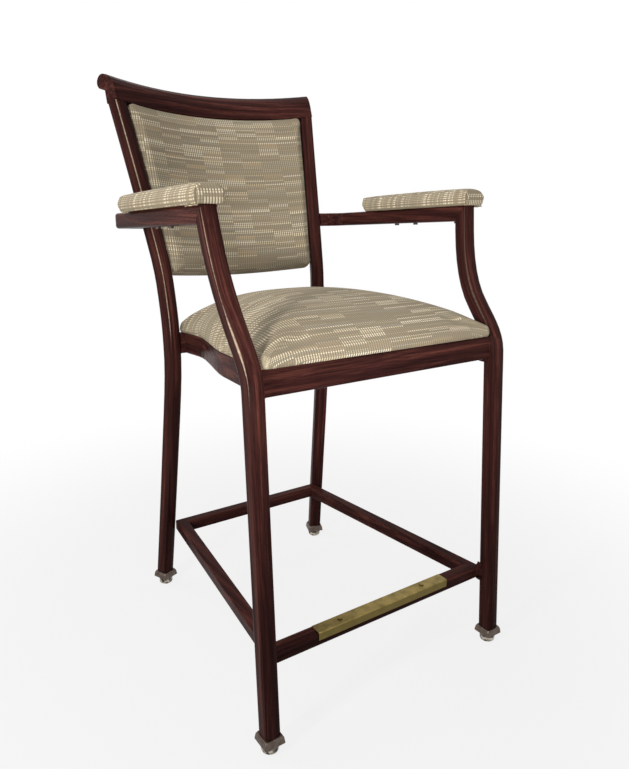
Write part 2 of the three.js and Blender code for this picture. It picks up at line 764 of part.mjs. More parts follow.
const railSection = roundedLoop(seatRailThickness, seatRailHeight, seatRailCornerRadius, 0, 2);
const railBore = roundedLoop(
  seatRailThickness - 2 * seatRailWall,
  seatRailHeight - 2 * seatRailWall,
  seatRailCornerRadius - seatRailWall,
  0,
  1,
);
const railMiddleDrop = -seatRailHeight / 2;
const rearward = vector(0, 1, 0);

const frontRailHalf = frontSeatSpread - tubeSize / 2 - weldGap;
const frontRailY = seatRailThickness / 2;
const frontRail = [-frontRailHalf, frontRailHalf].map((x) =>
  station(vector(x, frontRailY, railMiddleDrop), sideways, rearward),
);
add("seat_rail_front", sweep(frontRail, railSection, railBore), mahogany, seatGroup);

// The rear rail ends on the inner faces of the back posts.
const rearRailDrop = Math.sin(seatSlope) * (backPostAt(seatRailUnderside).y - seatFrontSetback);
const rearRailWorldHeight = seatRailUnderside + seatRailHeight / 2 - rearRailDrop;
const rearPost = backStationAt(rearRailWorldHeight);
const rearFace = rearPost.at.clone().addScaledVector(rearPost.across, -tubeSize / 2 - weldGap);
const rearFaceLocal = rearFace.clone().applyMatrix4(worldToSeat);
const rearNormal = rearPost.across.clone().transformDirection(worldToSeat);
const rearRailY = rearFaceLocal.y;
const rearRailEnd = onPlane(
  station(vector(0, rearRailY, railMiddleDrop), sideways, rearward), rearFaceLocal, rearNormal,
);
const rearRailStart = {
  at: rearRailEnd.at.clone().multiply(vector(-1, 1, 1)),
  across: rearRailEnd.across.clone().multiply(vector(-1, 1, 1)),
  deep: rearRailEnd.deep.clone().multiply(vector(-1, 1, 1)),
};
add("seat_rail_rear", sweep([rearRailStart, rearRailEnd], railSection, railBore), mahogany, seatGroup);

// The side rails bend in from the wide front to the narrow back.
const sideStart = seatRailThickness + weldGap;
const sideEnd = rearRailY - seatRailThickness / 2 - weldGap;
const sideKnots = sideRunShares.map((run, i) =>
  vector(
    sideRailRearSpread + (sideRailFrontSpread - sideRailRearSpread) * sideSpreadShares[i],
    sideStart + (sideEnd - sideStart) * run,
    railMiddleDrop,
  ),
);
const sideCurve = new THREE.CatmullRomCurve3(sideKnots);
const sideSteps = 16;
const sideStations = evenShares(sideSteps).map((share) =>
  station(sideCurve.getPoint(share), sideCurve.getTangent(share), sideways),
);
sideStations[0] = onPlane(sideStations[0], sideKnots[0], rearward);
sideStations[sideSteps] = onPlane(sideStations[sideSteps], sideKnots[sideKnots.length - 1], rearward);
addPair("seat_rail", sweep(sideStations, railSection, railBore), mahogany, seatGroup);

// Edge of the seat in plan: the side rails' line moved out by an overhang, closed front and rear.
const sideX = (y) => between(y, sideKnots.map((p) => p.y), sideKnots.map((p) => p.x));
function seatOutline(overhang, front, rear, limit, cornerRadius) {
  const right = [];
  const rows = 16;
  const spreadAt = (y) => Math.min(sideX(y) + seatRailThickness / 2 + overhang, limit);
  const arcSteps = 4;
  for (let step = 0; step < arcSteps; step += 1) {
    const angle = (step / arcSteps) * (Math.PI / 2);
    const y = front + cornerRadius * (1 - Math.cos(angle));
    right.push(point(spreadAt(front + cornerRadius) - cornerRadius * (1 - Math.sin(angle)), y));
  }
  for (let row = 0; row <= rows; row += 1) {
    const y = front + cornerRadius + ((rear - front - 2 * cornerRadius) * row) / rows;
    right.push(point(spreadAt(y), y));
  }
  for (let step = 1; step <= arcSteps; step += 1) {
    const angle = (step / arcSteps) * (Math.PI / 2);
    const y = rear - cornerRadius * (1 - Math.sin(angle));
    right.push(point(spreadAt(rear - cornerRadius) - cornerRadius * (1 - Math.cos(angle)), y));
  }
  const left = right.map((p) => point(-p.x, p.y)).reverse();
  return [...right, ...left];
}

const seatInnerLimit = frontSeatSpread - tubeSize / 2 - cushionPostClearance;
const seatRear = rearRailY + seatRailThickness / 2;
const boardLimit = seatInnerLimit - seatBoardInset;
const boardRoom = (grow) =>
  seatOutline(
    grow - seatBoardInset,
    seatBoardInset - grow,
    seatRear - seatBoardInset + grow,
    boardLimit + grow,
    seatRailCornerRadius,
  );

// Corner brackets, under the board and inside the rails.
function bracketOutline(rear) {
  const y = rear ? sideEnd - weldGap : sideStart + weldGap;
  const step = rear ? -bracketLength : bracketLength;
  const inner = (at) => sideX(at) - seatRailThickness / 2 - 2 * weldGap;
  const corner = point(Math.min(inner(y), inner(y + step / 2)), y);
  const along = point(Math.min(inner(y + step), inner(y + step / 2)), y + step);
  const outline = [corner, along, point(corner.x - bracketLength, y)];
  return rear ? outline.reverse() : outline;
}
const bracketTop = -weldGap;
const seatScrewHoles = [];
for (const rear of [false, true]) {
  const outline = bracketOutline(rear);
  const corner = rear ? outline[2] : outline[0];
  const hole = {
    x: corner.x - bracketLength * bracketHoleShare,
    y: corner.y + (rear ? -1 : 1) * bracketLength * bracketHoleShare,
    radius: seatScrewRadius + boreClearance,
  };
  seatScrewHoles.push(hole, { ...hole, x: -hole.x });
  const label = rear ? "rear" : "front";
  const bracket = joined(plate(outline, bracketTop - bracketThickness, bracketThickness, [hole]));
  addPair("seat_bracket_" + label, bracket, mahogany, seatGroup);
  const length = bracketThickness + seatBoardThickness * screwGripShare;
  const seat = bracketTop - bracketThickness - weldGap;
  const { x, y } = hole;
  const geometry = screw(seatScrewRadius, seatScrewHeadRadius, seatScrewHeadHeight, seat, length, x, y);
  addPair("seat_screw_" + label, geometry, steel, seatGroup);
}
const seatBoard = plate(boardRoom(0), weldGap, seatBoardThickness, seatScrewHoles);
add("seat_board", joined(seatBoard), plywood, seatGroup);

// Seat cushion: drawn in under its edge, full at the sides and crowned in the middle.
const cushionOutline = seatOutline(
  cushionSideOverhang, -cushionOverhang, seatRear, seatInnerLimit, cushionCornerRadius,
);
const cushionBase = 2 * weldGap;
const cushionRings = cushionSideHeightShares.map((share, i) => ({
  inset: cushionDrawIn * cushionSideInsetShares[i],
  height: cushionBase + cushionEdgeHeight * share,
}));
const cushionHalf = Math.max(...cushionOutline.map((p) => p.x));
for (const share of cushionTopShares) {
  const rise = cushionCrown * Math.pow(1 - share ** cushionCrownPower, cushionCrownEasePower);
  cushionRings.push({
    inset: cushionHalf * (1 - share),
    height: cushionBase + cushionEdgeHeight + rise,
    round: Math.pow(1 - share, cushionRoundPower),
  });
}
const boardPocketDepth = seatBoardThickness + weldGap + cutOverrun;
const boardPocket = plate(boardRoom(weldGap), weldGap - cutOverrun, boardPocketDepth);
add("seat_cushion", cut(padded(cushionOutline, cushionRings), [boardPocket]), fabric, seatGroup);

// Foot ring: four mitred tubes whose corners are notched round the legs' inner corners.
const frontLegAtRing = frontLegAt(footRailHeight);
const backLegAtRing = backStationAt(footRailHeight);
const ringFront = vector(
  frontLegAtRing.x - tubeSize / 2 + footFrontLap,
  frontLegAtRing.y + tubeSize / 2 - footFrontLap,
  footRailHeight,
);
const ringRear = backLegAtRing.at
  .clone()
  .addScaledVector(backLegAtRing.across, -tubeSize / 2)
  .addScaledVector(backLegAtRing.deep, -tubeSize / 2);
ringRear.set(ringRear.x + footRearLap, ringRear.y + footRearLap, footRailHeight);

// The ring's outer corners, moved in to its centre line.
const sideRun = ringRear.clone().sub(ringFront).normalize();
const sideLean = Math.hypot(1, sideRun.x / sideRun.y);
const ringHalf = footRailSize / 2;
const sideSlant = sideRun.x / sideRun.y;
const ringFrontX = ringFront.x - ringHalf * sideLean + ringHalf * sideSlant;
const ringRearX = ringRear.x - ringHalf * sideLean - ringHalf * sideSlant;
const ringCentre = [
  vector(-ringFrontX, ringFront.y + ringHalf, footRailHeight),
  vector(ringFrontX, ringFront.y + ringHalf, footRailHeight),
  vector(ringRearX, ringRear.y - ringHalf, footRailHeight),
  vector(-ringRearX, ringRear.y - ringHalf, footRailHeight),
];
const footSection = roundedLoop(footRailSize, footRailSize, footRailCornerRadius, 0, 2);
const footBoreSize = footRailSize - 2 * footRailWall;
const footBore = roundedLoop(footBoreSize, footBoreSize, footRailCornerRadius - footRailWall, 0, 1);
const grownSize = tubeSize + 2 * weldGap;
const grownLoop = roundedLoop(grownSize, grownSize, tubeCornerRadius + weldGap, tubeCrown, 2);
const frontLegTool = sweep(frontLegStations(tubeBottom).slice(0, 3), grownLoop);
const backLegTool = sweep(backPostStations(tubeBottom).slice(0, 10), grownLoop);
const legTools = [frontLegTool, mirrored(frontLegTool), backLegTool, mirrored(backLegTool)];
const ringNames = ["front", "right", "rear", "left"];
const plateScrewPlaces = [-plateScrewSpacing / 2, plateScrewSpacing / 2];
const footTop = footRailHeight + footRailSize / 2;
const plateHoles = plateScrewPlaces.map((x) =>
  rod(plateScrewRadius + boreClearance, x, ringCentre[0].y, footRailHeight, footTop + cutOverrun),
);
ringNames.forEach((name, i) => {
  const corner = (index) => ringCentre[(index + 4) % 4];
  const start = corner(i);
  const end = corner(i + 1);
  const along = end.clone().sub(start).normalize();
  const before = start.clone().sub(corner(i - 1)).normalize();
  const after = corner(i + 2).clone().sub(end).normalize();
  const mitre = (at, first, second, shift) => {
    const normal = first.clone().add(second).normalize();
    const base = station(at, along, upward);
    return onPlane(base, at.clone().addScaledVector(along, shift), normal);
  };
  const stations = [mitre(start, before, along, weldGap / 2), mitre(end, along, after, -weldGap / 2)];
  const holes = name === "front" ? plateHoles : [];
  add("foot_rail_" + name, cut(sweep(stations, footSection, footBore), [...legTools, ...holes]), mahogany);
});

// Brass wear plate, bent over the top and front of the front foot rail.
const plateBack = ringCentre[0].y + footRailSize / 2 - footRailCornerRadius;
const plateFront = ringCentre[0].y - footRailSize / 2 - weldGap;
const plateBase = footTop + weldGap;
const plateShape = new THREE.Shape([
  point(plateBack, plateBase),
  point(plateBack, plateBase + plateThickness),
  point(plateFront, plateBase + plateThickness),
  point(plateFront - plateThickness * plateBendShare, plateBase + plateThickness * plateBendShare),
  point(plateFront - plateThickness, plateBase),
  point(plateFront - plateThickness, footTop - plateLip),
  point(plateFront, footTop - plateLip),
  point(plateFront, plateBase),
]);
const plateSolid = new THREE.ExtrudeGeometry(plateShape, { depth: plateLength, bevelEnabled: false });
plateSolid.applyMatrix4(new THREE.Matrix4().makeBasis(rearward, upward, sideways));
plateSolid.translate(-plateLength / 2, 0, 0);
add("foot_plate", cut(plateSolid, plateHoles), brass);
const plateTop = plateBase + plateThickness + weldGap;
plateScrewPlaces.forEach((x, i) => {
  const y = ringCentre[0].y;
  const head = rod(plateScrewHeadRadius, x, y, plateTop, plateTop + plateScrewHeadHeight);
  const shank = rod(plateScrewRadius, x, y, plateTop - plateScrewLength, plateTop + plateScrewHeadHeight / 2);
  const geometry = geometryOf(solidOf(head).add(solidOf(shank)));
  add("foot_plate_screw_" + (i === 0 ? "left" : "right"), geometry, brass);
});

// Feet: a bevelled cap with a plug in the tube, and a round glide with its stem in the cap.
const rimSteps = 3;
const glideProfile = [point(0, 0), point(glideFlatRadius, 0)];
for (let step = 1; step <= rimSteps; step += 1) {
  const angle = (step / rimSteps) * (Math.PI / 2);
  glideProfile.push(point(
    glideFlatRadius + (glideRadius - glideFlatRadius) * Math.sin(angle),
    glideRimHeight * (1 - Math.cos(angle)),
  ));
}
glideProfile.push(
  point(glideRadius, glideHeight - glideBevel),
  point(glideRadius - glideBevel, glideHeight),
  point(stemRadius, glideHeight),
  point(stemRadius, glideHeight + stemLength),
  point(0, glideHeight + stemLength),
);
function footCap(stationAt) {
  const base = glideHeight + weldGap;
  const top = base + capHeight;
  const foot = stationAt(top);
  const square = (half, height, at) => ({
    at: vector(at.x, at.y, height),
    across: foot.across.clone().setZ(0).normalize().multiplyScalar(half),
    deep: foot.deep.clone().setZ(0).normalize().multiplyScalar(half),
  });
  const unit = roundedLoop(2, 2, plugCornerRadius / (capFootSize / 2), 0, 2);
  const plugHalf = tubeSize / 2 - tubeWall - plugClearance;
  const stations = [
    square(capFootSize / 2, base, foot.at),
    square(capShoulderSize / 2, top - capShoulderDrop, foot.at),
    square(capTopSize / 2, top, foot.at),
    square(plugHalf, top, foot.at),
    square(plugHalf, top + plugHeight, stationAt(top + plugHeight).at),
  ];
  const boreTop = top + plugHeight + cutOverrun;
  const bore = rod(stemRadius + boreClearance, foot.at.x, foot.at.y, base - cutOverrun, boreTop);
  return { cap: cut(sweep(stations, unit), [bore]), at: foot.at };
}
const frontStationAt = (height) => station(frontLegAt(height), upward, sideways);
const backFootStationAt = (height) => station(backPostAt(height), upward, backAcross);
for (const [name, stationAt] of [["front", frontStationAt], ["rear", backFootStationAt]]) {
  const { cap, at } = footCap(stationAt);
  addPair("leg_cap_" + name, cap, bronze);
  const glide = joined(new THREE.LatheGeometry(glideProfile, 18));
  glide.rotateX(Math.PI / 2);
  glide.translate(at.x, at.y, 0);
  addPair("glide_" + name, glide, nickel);
}

// The origin lies under the middle of the stool's outer box.
const outerBox = new THREE.Box3().setFromObject(part);
const boxMiddle = (outerBox.min.y + outerBox.max.y) / 2;
for (const piece of part.children) {
  piece.position.y -= boxMiddle;
}

export default part;
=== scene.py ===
"""A counter stool: welded square tube in a mahogany wood grain, woven beige upholstery, a foot ring
with a brass wear plate, and nickel glides. Lengths are in metres."""

import json
import math

import bmesh
import bpy
from mathutils import Matrix, Vector
from mathutils.bvhtree import BVHTree

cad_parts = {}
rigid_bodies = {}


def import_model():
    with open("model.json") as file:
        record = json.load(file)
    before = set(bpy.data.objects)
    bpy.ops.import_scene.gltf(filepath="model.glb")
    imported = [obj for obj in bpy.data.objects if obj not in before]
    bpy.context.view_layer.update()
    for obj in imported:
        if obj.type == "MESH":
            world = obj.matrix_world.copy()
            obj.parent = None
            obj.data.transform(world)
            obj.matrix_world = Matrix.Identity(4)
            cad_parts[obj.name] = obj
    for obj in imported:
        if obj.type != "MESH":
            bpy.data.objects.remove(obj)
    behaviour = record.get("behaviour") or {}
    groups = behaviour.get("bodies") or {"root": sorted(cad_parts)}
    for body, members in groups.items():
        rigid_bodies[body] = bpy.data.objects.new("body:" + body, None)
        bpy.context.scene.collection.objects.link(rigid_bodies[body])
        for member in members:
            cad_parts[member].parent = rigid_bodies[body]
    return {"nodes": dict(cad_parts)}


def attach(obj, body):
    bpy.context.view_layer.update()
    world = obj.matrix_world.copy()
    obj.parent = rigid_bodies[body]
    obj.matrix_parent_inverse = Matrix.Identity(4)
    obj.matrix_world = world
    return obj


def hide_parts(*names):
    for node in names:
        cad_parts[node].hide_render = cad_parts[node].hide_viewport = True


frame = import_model()
nodes = frame["nodes"]
for spare in [o for o in bpy.data.objects if o.name in ("Cube", "Camera", "Light")]:
    bpy.data.objects.remove(spare)
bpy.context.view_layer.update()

MM = 0.001


def placed(name, data):
    """A new object in the scene."""
    made = bpy.data.objects.new(name, data)
    bpy.context.scene.collection.objects.link(made)
    return made


def meshed(name, bm):
    """A new object with the form as its mesh."""
    mesh = bpy.data.meshes.new(name)
    bm.to_mesh(mesh)
    bm.free()
    return placed(name, mesh)


# Shader maths

class Reading:
    """A value that changes over a surface, with its arithmetic."""

    def __init__(self, finish, socket):
        self.finish = finish
        self.socket = socket

    def math(self, operation, other=0.0, first=None):
        values = {0: self, 1: other} if first is None else {0: first, 1: self}
        return self.finish.node("ShaderNodeMath", {"operation": operation}, values)

    def __add__(self, other):
        return self.math("ADD", other)

    def __sub__(self, other):
        return self.math("SUBTRACT", other)

    def __rsub__(self, other):
        return self.math("SUBTRACT", first=other)

    def __mul__(self, other):
        return self.math("MULTIPLY", other)

    def __truediv__(self, other):
        return self.math("DIVIDE", other)

    def __rtruediv__(self, other):
        return self.math("DIVIDE", first=other)

    def __pow__(self, other):
        return self.math("POWER", other)

    def __neg__(self):
        return self * -1.0

    def __abs__(self):
        return self.math("ABSOLUTE")

    __radd__ = __add__
    __rmul__ = __mul__

    def clip(self):
        return self.math("MAXIMUM", 0.0).math("MINIMUM", 1.0)


class Finish:
    """A material with one surface shader, built from the fewest helpers."""

    def __init__(self, name):
        self.material = bpy.data.materials.new(name)
        self.material.use_nodes = True
        self.tree = self.material.node_tree
        self.tree.nodes.clear()
        self.surface = self.tree.nodes.new("ShaderNodeBsdfPrincipled")
        self.output = self.tree.nodes.new("ShaderNodeOutputMaterial")
        self.show(Reading(self, self.surface.outputs[0]))

    def show(self, shader):
        self.feed(self.output.inputs["Surface"], shader)

    def node(self, kind, settings=None, values=None, out=0):
        made = self.tree.nodes.new(kind)
        for key, value in (settings or {}).items():
            if key == "stops":
                ramp = made.color_ramp
                while len(ramp.elements) < len(value):
                    ramp.elements.new(1.0)
                for element, (place, colour) in zip(ramp.elements, value):
                    element.position = place
                    element.color = (*colour, 1.0)
            elif key == "points":
                curve = made.mapping.curves[0]
                while len(curve.points) < len(value):
                    curve.points.new(1.0, 1.0)
                for spot, (x, y) in zip(curve.points, value):
                    spot.location = (x, y)
                made.mapping.update()
            else:
                setattr(made, key, value)
        for key, value in (values or {}).items():
            self.feed(made.inputs[key], value)
        if isinstance(out, range):
            return [Reading(self, made.outputs[place]) for place in out]
        return Reading(self, made.outputs[out]) if made.outputs else None

    def feed(self, socket, value):
        if isinstance(value, Reading):
            self.tree.links.new(value.socket, socket)
        elif isinstance(value, tuple) and socket.type == "RGBA":
            socket.default_value = (*value, 1.0)
        else:
            socket.default_value = value

    def place(self):
        """The three Object coordinates, in metres."""
        where = self.node("ShaderNodeTexCoord", out="Object")
        return self.node("ShaderNodeSeparateXYZ", values={0: where}, out=range(3))

    def cloth_place(self):
        """The two lengths along the cloth, in metres, from the piece's own map."""
        where = self.node("ShaderNodeUVMap", {"uv_map": "cloth"})
        return self.node("ShaderNodeSeparateXYZ", values={0: where}, out=range(2))

    def join(self, x, y, z=0.0):
        return self.node("ShaderNodeCombineXYZ", values={0: x, 1: y, 2: z})

    def noise(self, x, y, z=0.0, detail=2.0, roughness=0.5):
        """An even cloud of about one patch per unit, from 0 to 1."""
        values = {"Vector": self.join(x, y, z), "Scale": 1.0, "Detail": detail, "Roughness": roughness}
        return self.node("ShaderNodeTexNoise", values=values)

    def chance(self, x, y, z):
        """A random value for each whole-numbered place."""
        return self.node("ShaderNodeTexWhiteNoise", values={"Vector": self.join(x, y, z)})

    def ramp(self, value, *stops):
        return self.node("ShaderNodeValToRGB", {"stops": stops}, {0: value})

    def step(self, value, low, high):
        """0 below low and 1 above high, eased between them."""
        settings = {"interpolation_type": "SMOOTHSTEP"}
        return self.node("ShaderNodeMapRange", settings, {0: value, 1: low, 2: high, 3: 0.0, 4: 1.0})

    def past(self, value, limit):
        """0 below the limit and 1 just above it."""
        return self.step(value, limit, limit + 0.001)

    def mix(self, share, first, second):
        return self.node("ShaderNodeMix", {"data_type": "RGBA"}, {0: share, 6: first, 7: second}, out=2)

    def bump(self, height, distance, strength=1.0):
        values = {"Height": height, "Distance": distance, "Strength": strength}
        self.set(Normal=self.node("ShaderNodeBump", values=values))

    def set(self, **sockets):
        for key, value in sockets.items():
            self.feed(self.surface.inputs[key.replace("_", " ")], value)


def srgb(red, green, blue):
    """A colour as the eye reads it, made linear."""
    shares = [c / 255 for c in (red, green, blue)]
    return tuple(s / 12.92 if s <= 0.04045 else ((s + 0.055) / 1.055) ** 2.4 for s in shares)


# Mahogany grain on the tubes: it runs along each tube, bends included.

def along_curve(finish, value, spots, low, high):
    """A curve through the spots, read at a value. Its results lie between low and high."""
    reach = 1.1
    points = [(x / reach, (y - low) / (high - low)) for x, y in spots]
    return finish.node("ShaderNodeFloatCurve", {"points": points}, {1: value / reach}) * (high - low) + low


# Each tube's axis as (height, place) pairs: metres aside from the middle, and metres behind the front feet.

FRONT_AXIS = 0.3324  # of the front feet, ahead of the stool's middle
SWEEP = math.radians(21.5)  # how far each back post is turned, which is half of the back's arc
LEG_SIDE = [(0.0, 0.242), (0.548, 0.2405), (0.64, 0.2405), (0.69, 0.2436), (0.74, 0.248), (0.792, 0.253)]
LEG_DEPTH = [
    (0.0, 0.0), (0.548, 0.0386), (0.57, 0.041), (0.59, 0.0489), (0.609, 0.0619), (0.6285, 0.0776),
    (0.658, 0.0991), (0.694, 0.117), (0.738, 0.1309), (0.792, 0.1411),
]
BACK_SIDE = [
    (0.0, 0.1984), (0.2035, 0.1895), (0.361, 0.1831), (0.44, 0.1795), (0.498, 0.1765), (0.547, 0.175),
    (0.586, 0.1742), (0.625, 0.1754), (0.665, 0.1774), (0.7035, 0.1801), (0.7825, 0.1888), (0.8655, 0.198),
    (0.988, 0.2124),
]
BACK_DEPTH = [
    (0.0, 0.5329), (0.2035, 0.5077), (0.361, 0.4884), (0.44, 0.48), (0.498, 0.4788), (0.547, 0.483),
    (0.586, 0.489), (0.625, 0.4938), (0.665, 0.4992), (0.7035, 0.5089), (0.7825, 0.5335), (0.8655, 0.5606),
    (0.988, 0.6015),
]


def painted_edge_highlight(finish, across, deep, z, sign):
    """A painted highlight, in patches, along a tube's front left edge above the seat; it is much fainter on
    the right side.
    """
    edge = finish.step(across.math("MINIMUM", deep), 11.5 * MM, 12.7 * MM)
    patchy = finish.noise(z * 240.0, sign * 9.0, detail=2.0) * 1.5 - 0.1
    return edge * patchy.clip() * finish.step(z, 0.53, 0.6) * (0.45 - sign * 0.33)


# Each path gives two places across the tube, one along it, its side, and the mask of a painted highlight along
# its front left edge, or None.

def leg_path(finish):
    x, y, z = finish.place()
    side = along_curve(finish, z, LEG_SIDE, 0.2, 0.3)
    depth = along_curve(finish, z, LEG_DEPTH, 0.0, 0.2)
    a, b, sign = abs(x) - side, y + FRONT_AXIS - depth, x.math("SIGN")
    return a, b, z, sign, painted_edge_highlight(finish, -(a * sign), -b, z, sign)


def post_path(finish):
    x, y, z = finish.place()
    side = along_curve(finish, z, BACK_SIDE, 0.15, 0.25)
    depth = along_curve(finish, z, BACK_DEPTH, 0.4, 0.7)
    a, b, sign = abs(x) - side, y + FRONT_AXIS - depth, x.math("SIGN")
    across = a * math.cos(SWEEP) - b * math.sin(SWEEP)
    deep = a * math.sin(SWEEP) + b * math.cos(SWEEP)
    return a, b, z, sign, painted_edge_highlight(finish, -(across * sign), -deep, z, sign)


CREST_CENTRE = -0.27  # of the crest's arc, along Y
CREST_RADIUS = 0.58


def crest_path(finish):
    x, y, z = finish.place()
    rear = y - CREST_CENTRE
    return (x * x + rear * rear) ** 0.5, z, x.math("ARCTAN2", rear) * CREST_RADIUS, 0.0, None


def across_path(finish):
    x, y, z = finish.place()
    return y, z, x, 0.0, None


def rearward_path(finish):
    x, y, z = finish.place()
    return abs(x), z, y, x.math("SIGN"), None


def coated(name, path):
    """Dark and red streaks that run along the path, with fine dark pores."""
    finish = Finish(name)
    a, b, s, side, edge_highlight = path(finish)
    shift = side * 3.1 + 5.0
    slow = finish.noise(a * 22.0, b * 22.0, s * 2.6 + shift)
    sway = slow * 0.02
    streak = finish.noise((a + sway) * 420.0, (b - sway) * 420.0, s * 7.0 + shift, detail=4.0, roughness=0.6)
    band = finish.noise((a + sway) * 110.0, (b + sway) * 110.0, s * 3.4 - shift, detail=3.0, roughness=0.55)
    pore = finish.noise(a * 1400.0, b * 1400.0, s * 55.0, detail=1.0)
    tone = (band * 0.75 + streak * 0.45 - 0.09).clip()
    colour = finish.ramp(
        tone,
        (0.28, srgb(30, 16, 15)),
        (0.42, srgb(46, 25, 24)),
        (0.54, srgb(62, 34, 31)),
        (0.68, srgb(90, 51, 45)),
        (0.84, srgb(110, 66, 57)),
    )
    colour = finish.mix(finish.step(pore, 0.56, 0.66) * 0.5, colour, srgb(30, 14, 14))
    # The cream edge line is a painted highlight, strongest on the left side of the stool.
    if edge_highlight:
        colour = finish.mix(edge_highlight, colour, srgb(214, 200, 176))
    finish.set(Base_Color=colour, Roughness=(pore - 0.5) * 0.12 + tone * 0.05 + 0.24)
    finish.set(Specular_IOR_Level=0.015)
    finish.bump(streak * 0.6 + pore * 0.4, 0.00008, 0.5)
    return finish.material


leg_coat = coated("leg_coat", leg_path)
post_coat = coated("post_coat", post_path)
crest_coat = coated("crest_coat", crest_path)
across_coat = coated("across_coat", across_path)
rearward_coat = coated("rearward_coat", rearward_path)


# Woven upholstery: rows of small bars and dots, in columns of ten bars.

BAR_PITCH = 4.4 * MM
ROW_PITCH = 4.1 * MM
COLUMN_BARS = 10.0


def woven(name, shift, light=0.0, bold=1.0):
    """shift picks another part of the cloth, light makes it paler as painted light, and bold is how far the
    bars stand out.
    """
    finish = Finish(name)
    cross, along = finish.cloth_place()
    bars = cross / BAR_PITCH + shift
    rows = along / ROW_PITCH + shift * 7.0
    column = (bars / COLUMN_BARS).math("FLOOR")
    row = rows.math("FLOOR")
    pair = (rows / 2.0).math("FLOOR")
    reach = (finish.chance(row, 3.0, 1.0) * 2.0).math("FLOOR")
    run = ((column + reach) / 2.0).math("FLOOR")
    kind = finish.chance(run, row, 1.0)
    pair_kind = finish.chance(column, pair, 7.0)
    level = finish.chance(column, row, 4.0)
    bar = 1.0 - finish.step(abs(bars.math("FRACT") - 0.5), 0.15, 0.29)
    row_off = abs(rows.math("FRACT") - 0.5)
    pair_off = abs((rows / 2.0).math("FRACT") - 0.5)
    dot = bar * (1.0 - finish.step(row_off, 0.26, 0.42))
    low_dot = bar * (1.0 - finish.step(row_off, 0.14, 0.26))
    tall = bar * (1.0 - finish.step(pair_off, 0.36, 0.44)) * finish.past(pair_kind, 0.86)
    thread = finish.noise(cross * 2600.0, along * 900.0)
    warp = finish.noise(cross * 500.0, along * 2600.0, detail=1.0)
    slow = finish.noise(cross * 12.0, along * 12.0)
    ground = finish.mix(thread, srgb(150, 139, 117), srgb(174, 161, 137))
    gap = finish.mix(thread, srgb(114, 105, 89), srgb(140, 129, 110))
    colour = finish.mix(bar * 0.3 + dot * 0.55, gap, ground)
    colour = finish.mix(finish.step(row_off, 0.38, 0.48) * 0.2, colour, srgb(112, 104, 88))
    cream = finish.mix(level, srgb(222, 207, 176), srgb(252, 243, 220))
    bright = dot * finish.past(kind, 0.76)
    middling = dot * finish.past(kind, 0.46) * (0.14 + level * 0.24)
    grey = low_dot * (1.0 - finish.past(kind, 0.13))
    blue = dot * finish.past(kind, 0.16) * (1.0 - finish.past(kind, 0.2))
    tan = finish.past(pair_kind, 0.66) * (1.0 - finish.past(pair_kind, 0.76))
    colour = finish.mix(tan * (0.14 + bar * 0.24), colour, srgb(186, 162, 130))
    colour = finish.mix(middling * bold, colour, cream)
    colour = finish.mix(bright * (0.9 * bold), colour, cream)
    colour = finish.mix(grey * 0.4, colour, srgb(96, 90, 82))
    colour = finish.mix(blue * 0.4, colour, srgb(160, 176, 174))
    colour = finish.mix(tall * (0.7 * bold), colour, cream)
    colour = finish.mix(slow * 0.1, colour, srgb(110, 100, 84))
    # Painted light: the cloth made paler where more light falls on it.
    colour = finish.mix(light, colour, srgb(226, 212, 184))
    finish.set(Base_Color=colour, Roughness=thread * 0.1 + 0.84)
    finish.set(Specular_IOR_Level=0.2)
    finish.bump((bright + tall + middling).clip() * 0.5 + thread * 0.3 + warp * 0.2, 0.0006, 0.6)
    return finish.material


# The seat and arm pads are the same cloth as the back, painted paler as painted light.
seat_cloth = woven("seat_cloth", 0.0, 0.06)
back_cloth = woven("back_cloth", 31.0, 0.0, 0.7)
pad_cloth = woven("pad_cloth", 53.0, 0.06)


# Metals and the seat board

def metal(name, light, dark, roughness, scale, shade_from=None, shade_to=None, uneven=0.5):
    """Light and dark clouds. With two heights, painted shade darkens the metal from the first height to past
    the second.
    """
    finish = Finish(name)
    x, y, z = finish.place()
    cloud = finish.noise(x * scale, y * scale, z * scale, detail=3.0)
    scratch = finish.noise(x * 90.0, y * 1600.0, z * 1600.0)
    colour = finish.mix(finish.step(cloud, 0.5 - uneven, 0.5 + uneven), dark, light)
    if shade_from:
        # Painted shade: a band of the metal is made darker by height.
        colour = finish.mix(finish.step(z, shade_from, shade_to) * 0.75, colour, dark)
    finish.set(Base_Color=colour, Metallic=1.0)
    finish.set(Roughness=(cloud * 0.25 + scratch * 0.15 - 0.2) + roughness)
    finish.bump(scratch, 0.00004, 0.4)
    return finish.material


# The brass plate is painted darker below its top face, and each glide above its lowest 13 mm, as painted
# shade.
brass = metal("worn_brass", srgb(170, 148, 88), srgb(92, 80, 42), 0.42, 60.0, 0.1525, 0.1515)
bronze = metal("cap_bronze", srgb(118, 104, 96), srgb(72, 62, 57), 0.45, 120.0)
nickel = metal("glide_nickel", srgb(190, 180, 166), srgb(48, 42, 38), 0.26, 160.0, 0.008, 0.013, 0.12)
steel = metal("dark_screw", srgb(70, 62, 58), srgb(44, 38, 36), 0.4, 200.0)


def board():
    """Pale birch, with its plies on the edges."""
    finish = Finish("seat_plywood")
    x, y, z = finish.place()
    grain = finish.noise(x * 200.0, y * 6.0, z * 200.0, detail=4.0)
    knots = finish.noise(x * 14.0, y * 4.0, z * 14.0)
    ply = (z * 1400.0 + y * 89.0).math("SINE")
    colour = finish.mix(grain, srgb(166, 126, 82), srgb(208, 174, 126))
    colour = finish.mix(knots * 0.3, colour, srgb(140, 98, 60))
    finish.set(Base_Color=colour, Roughness=0.75)
    finish.bump(grain + ply * 0.1, 0.0002, 0.4)
    return finish.material


plywood = board()


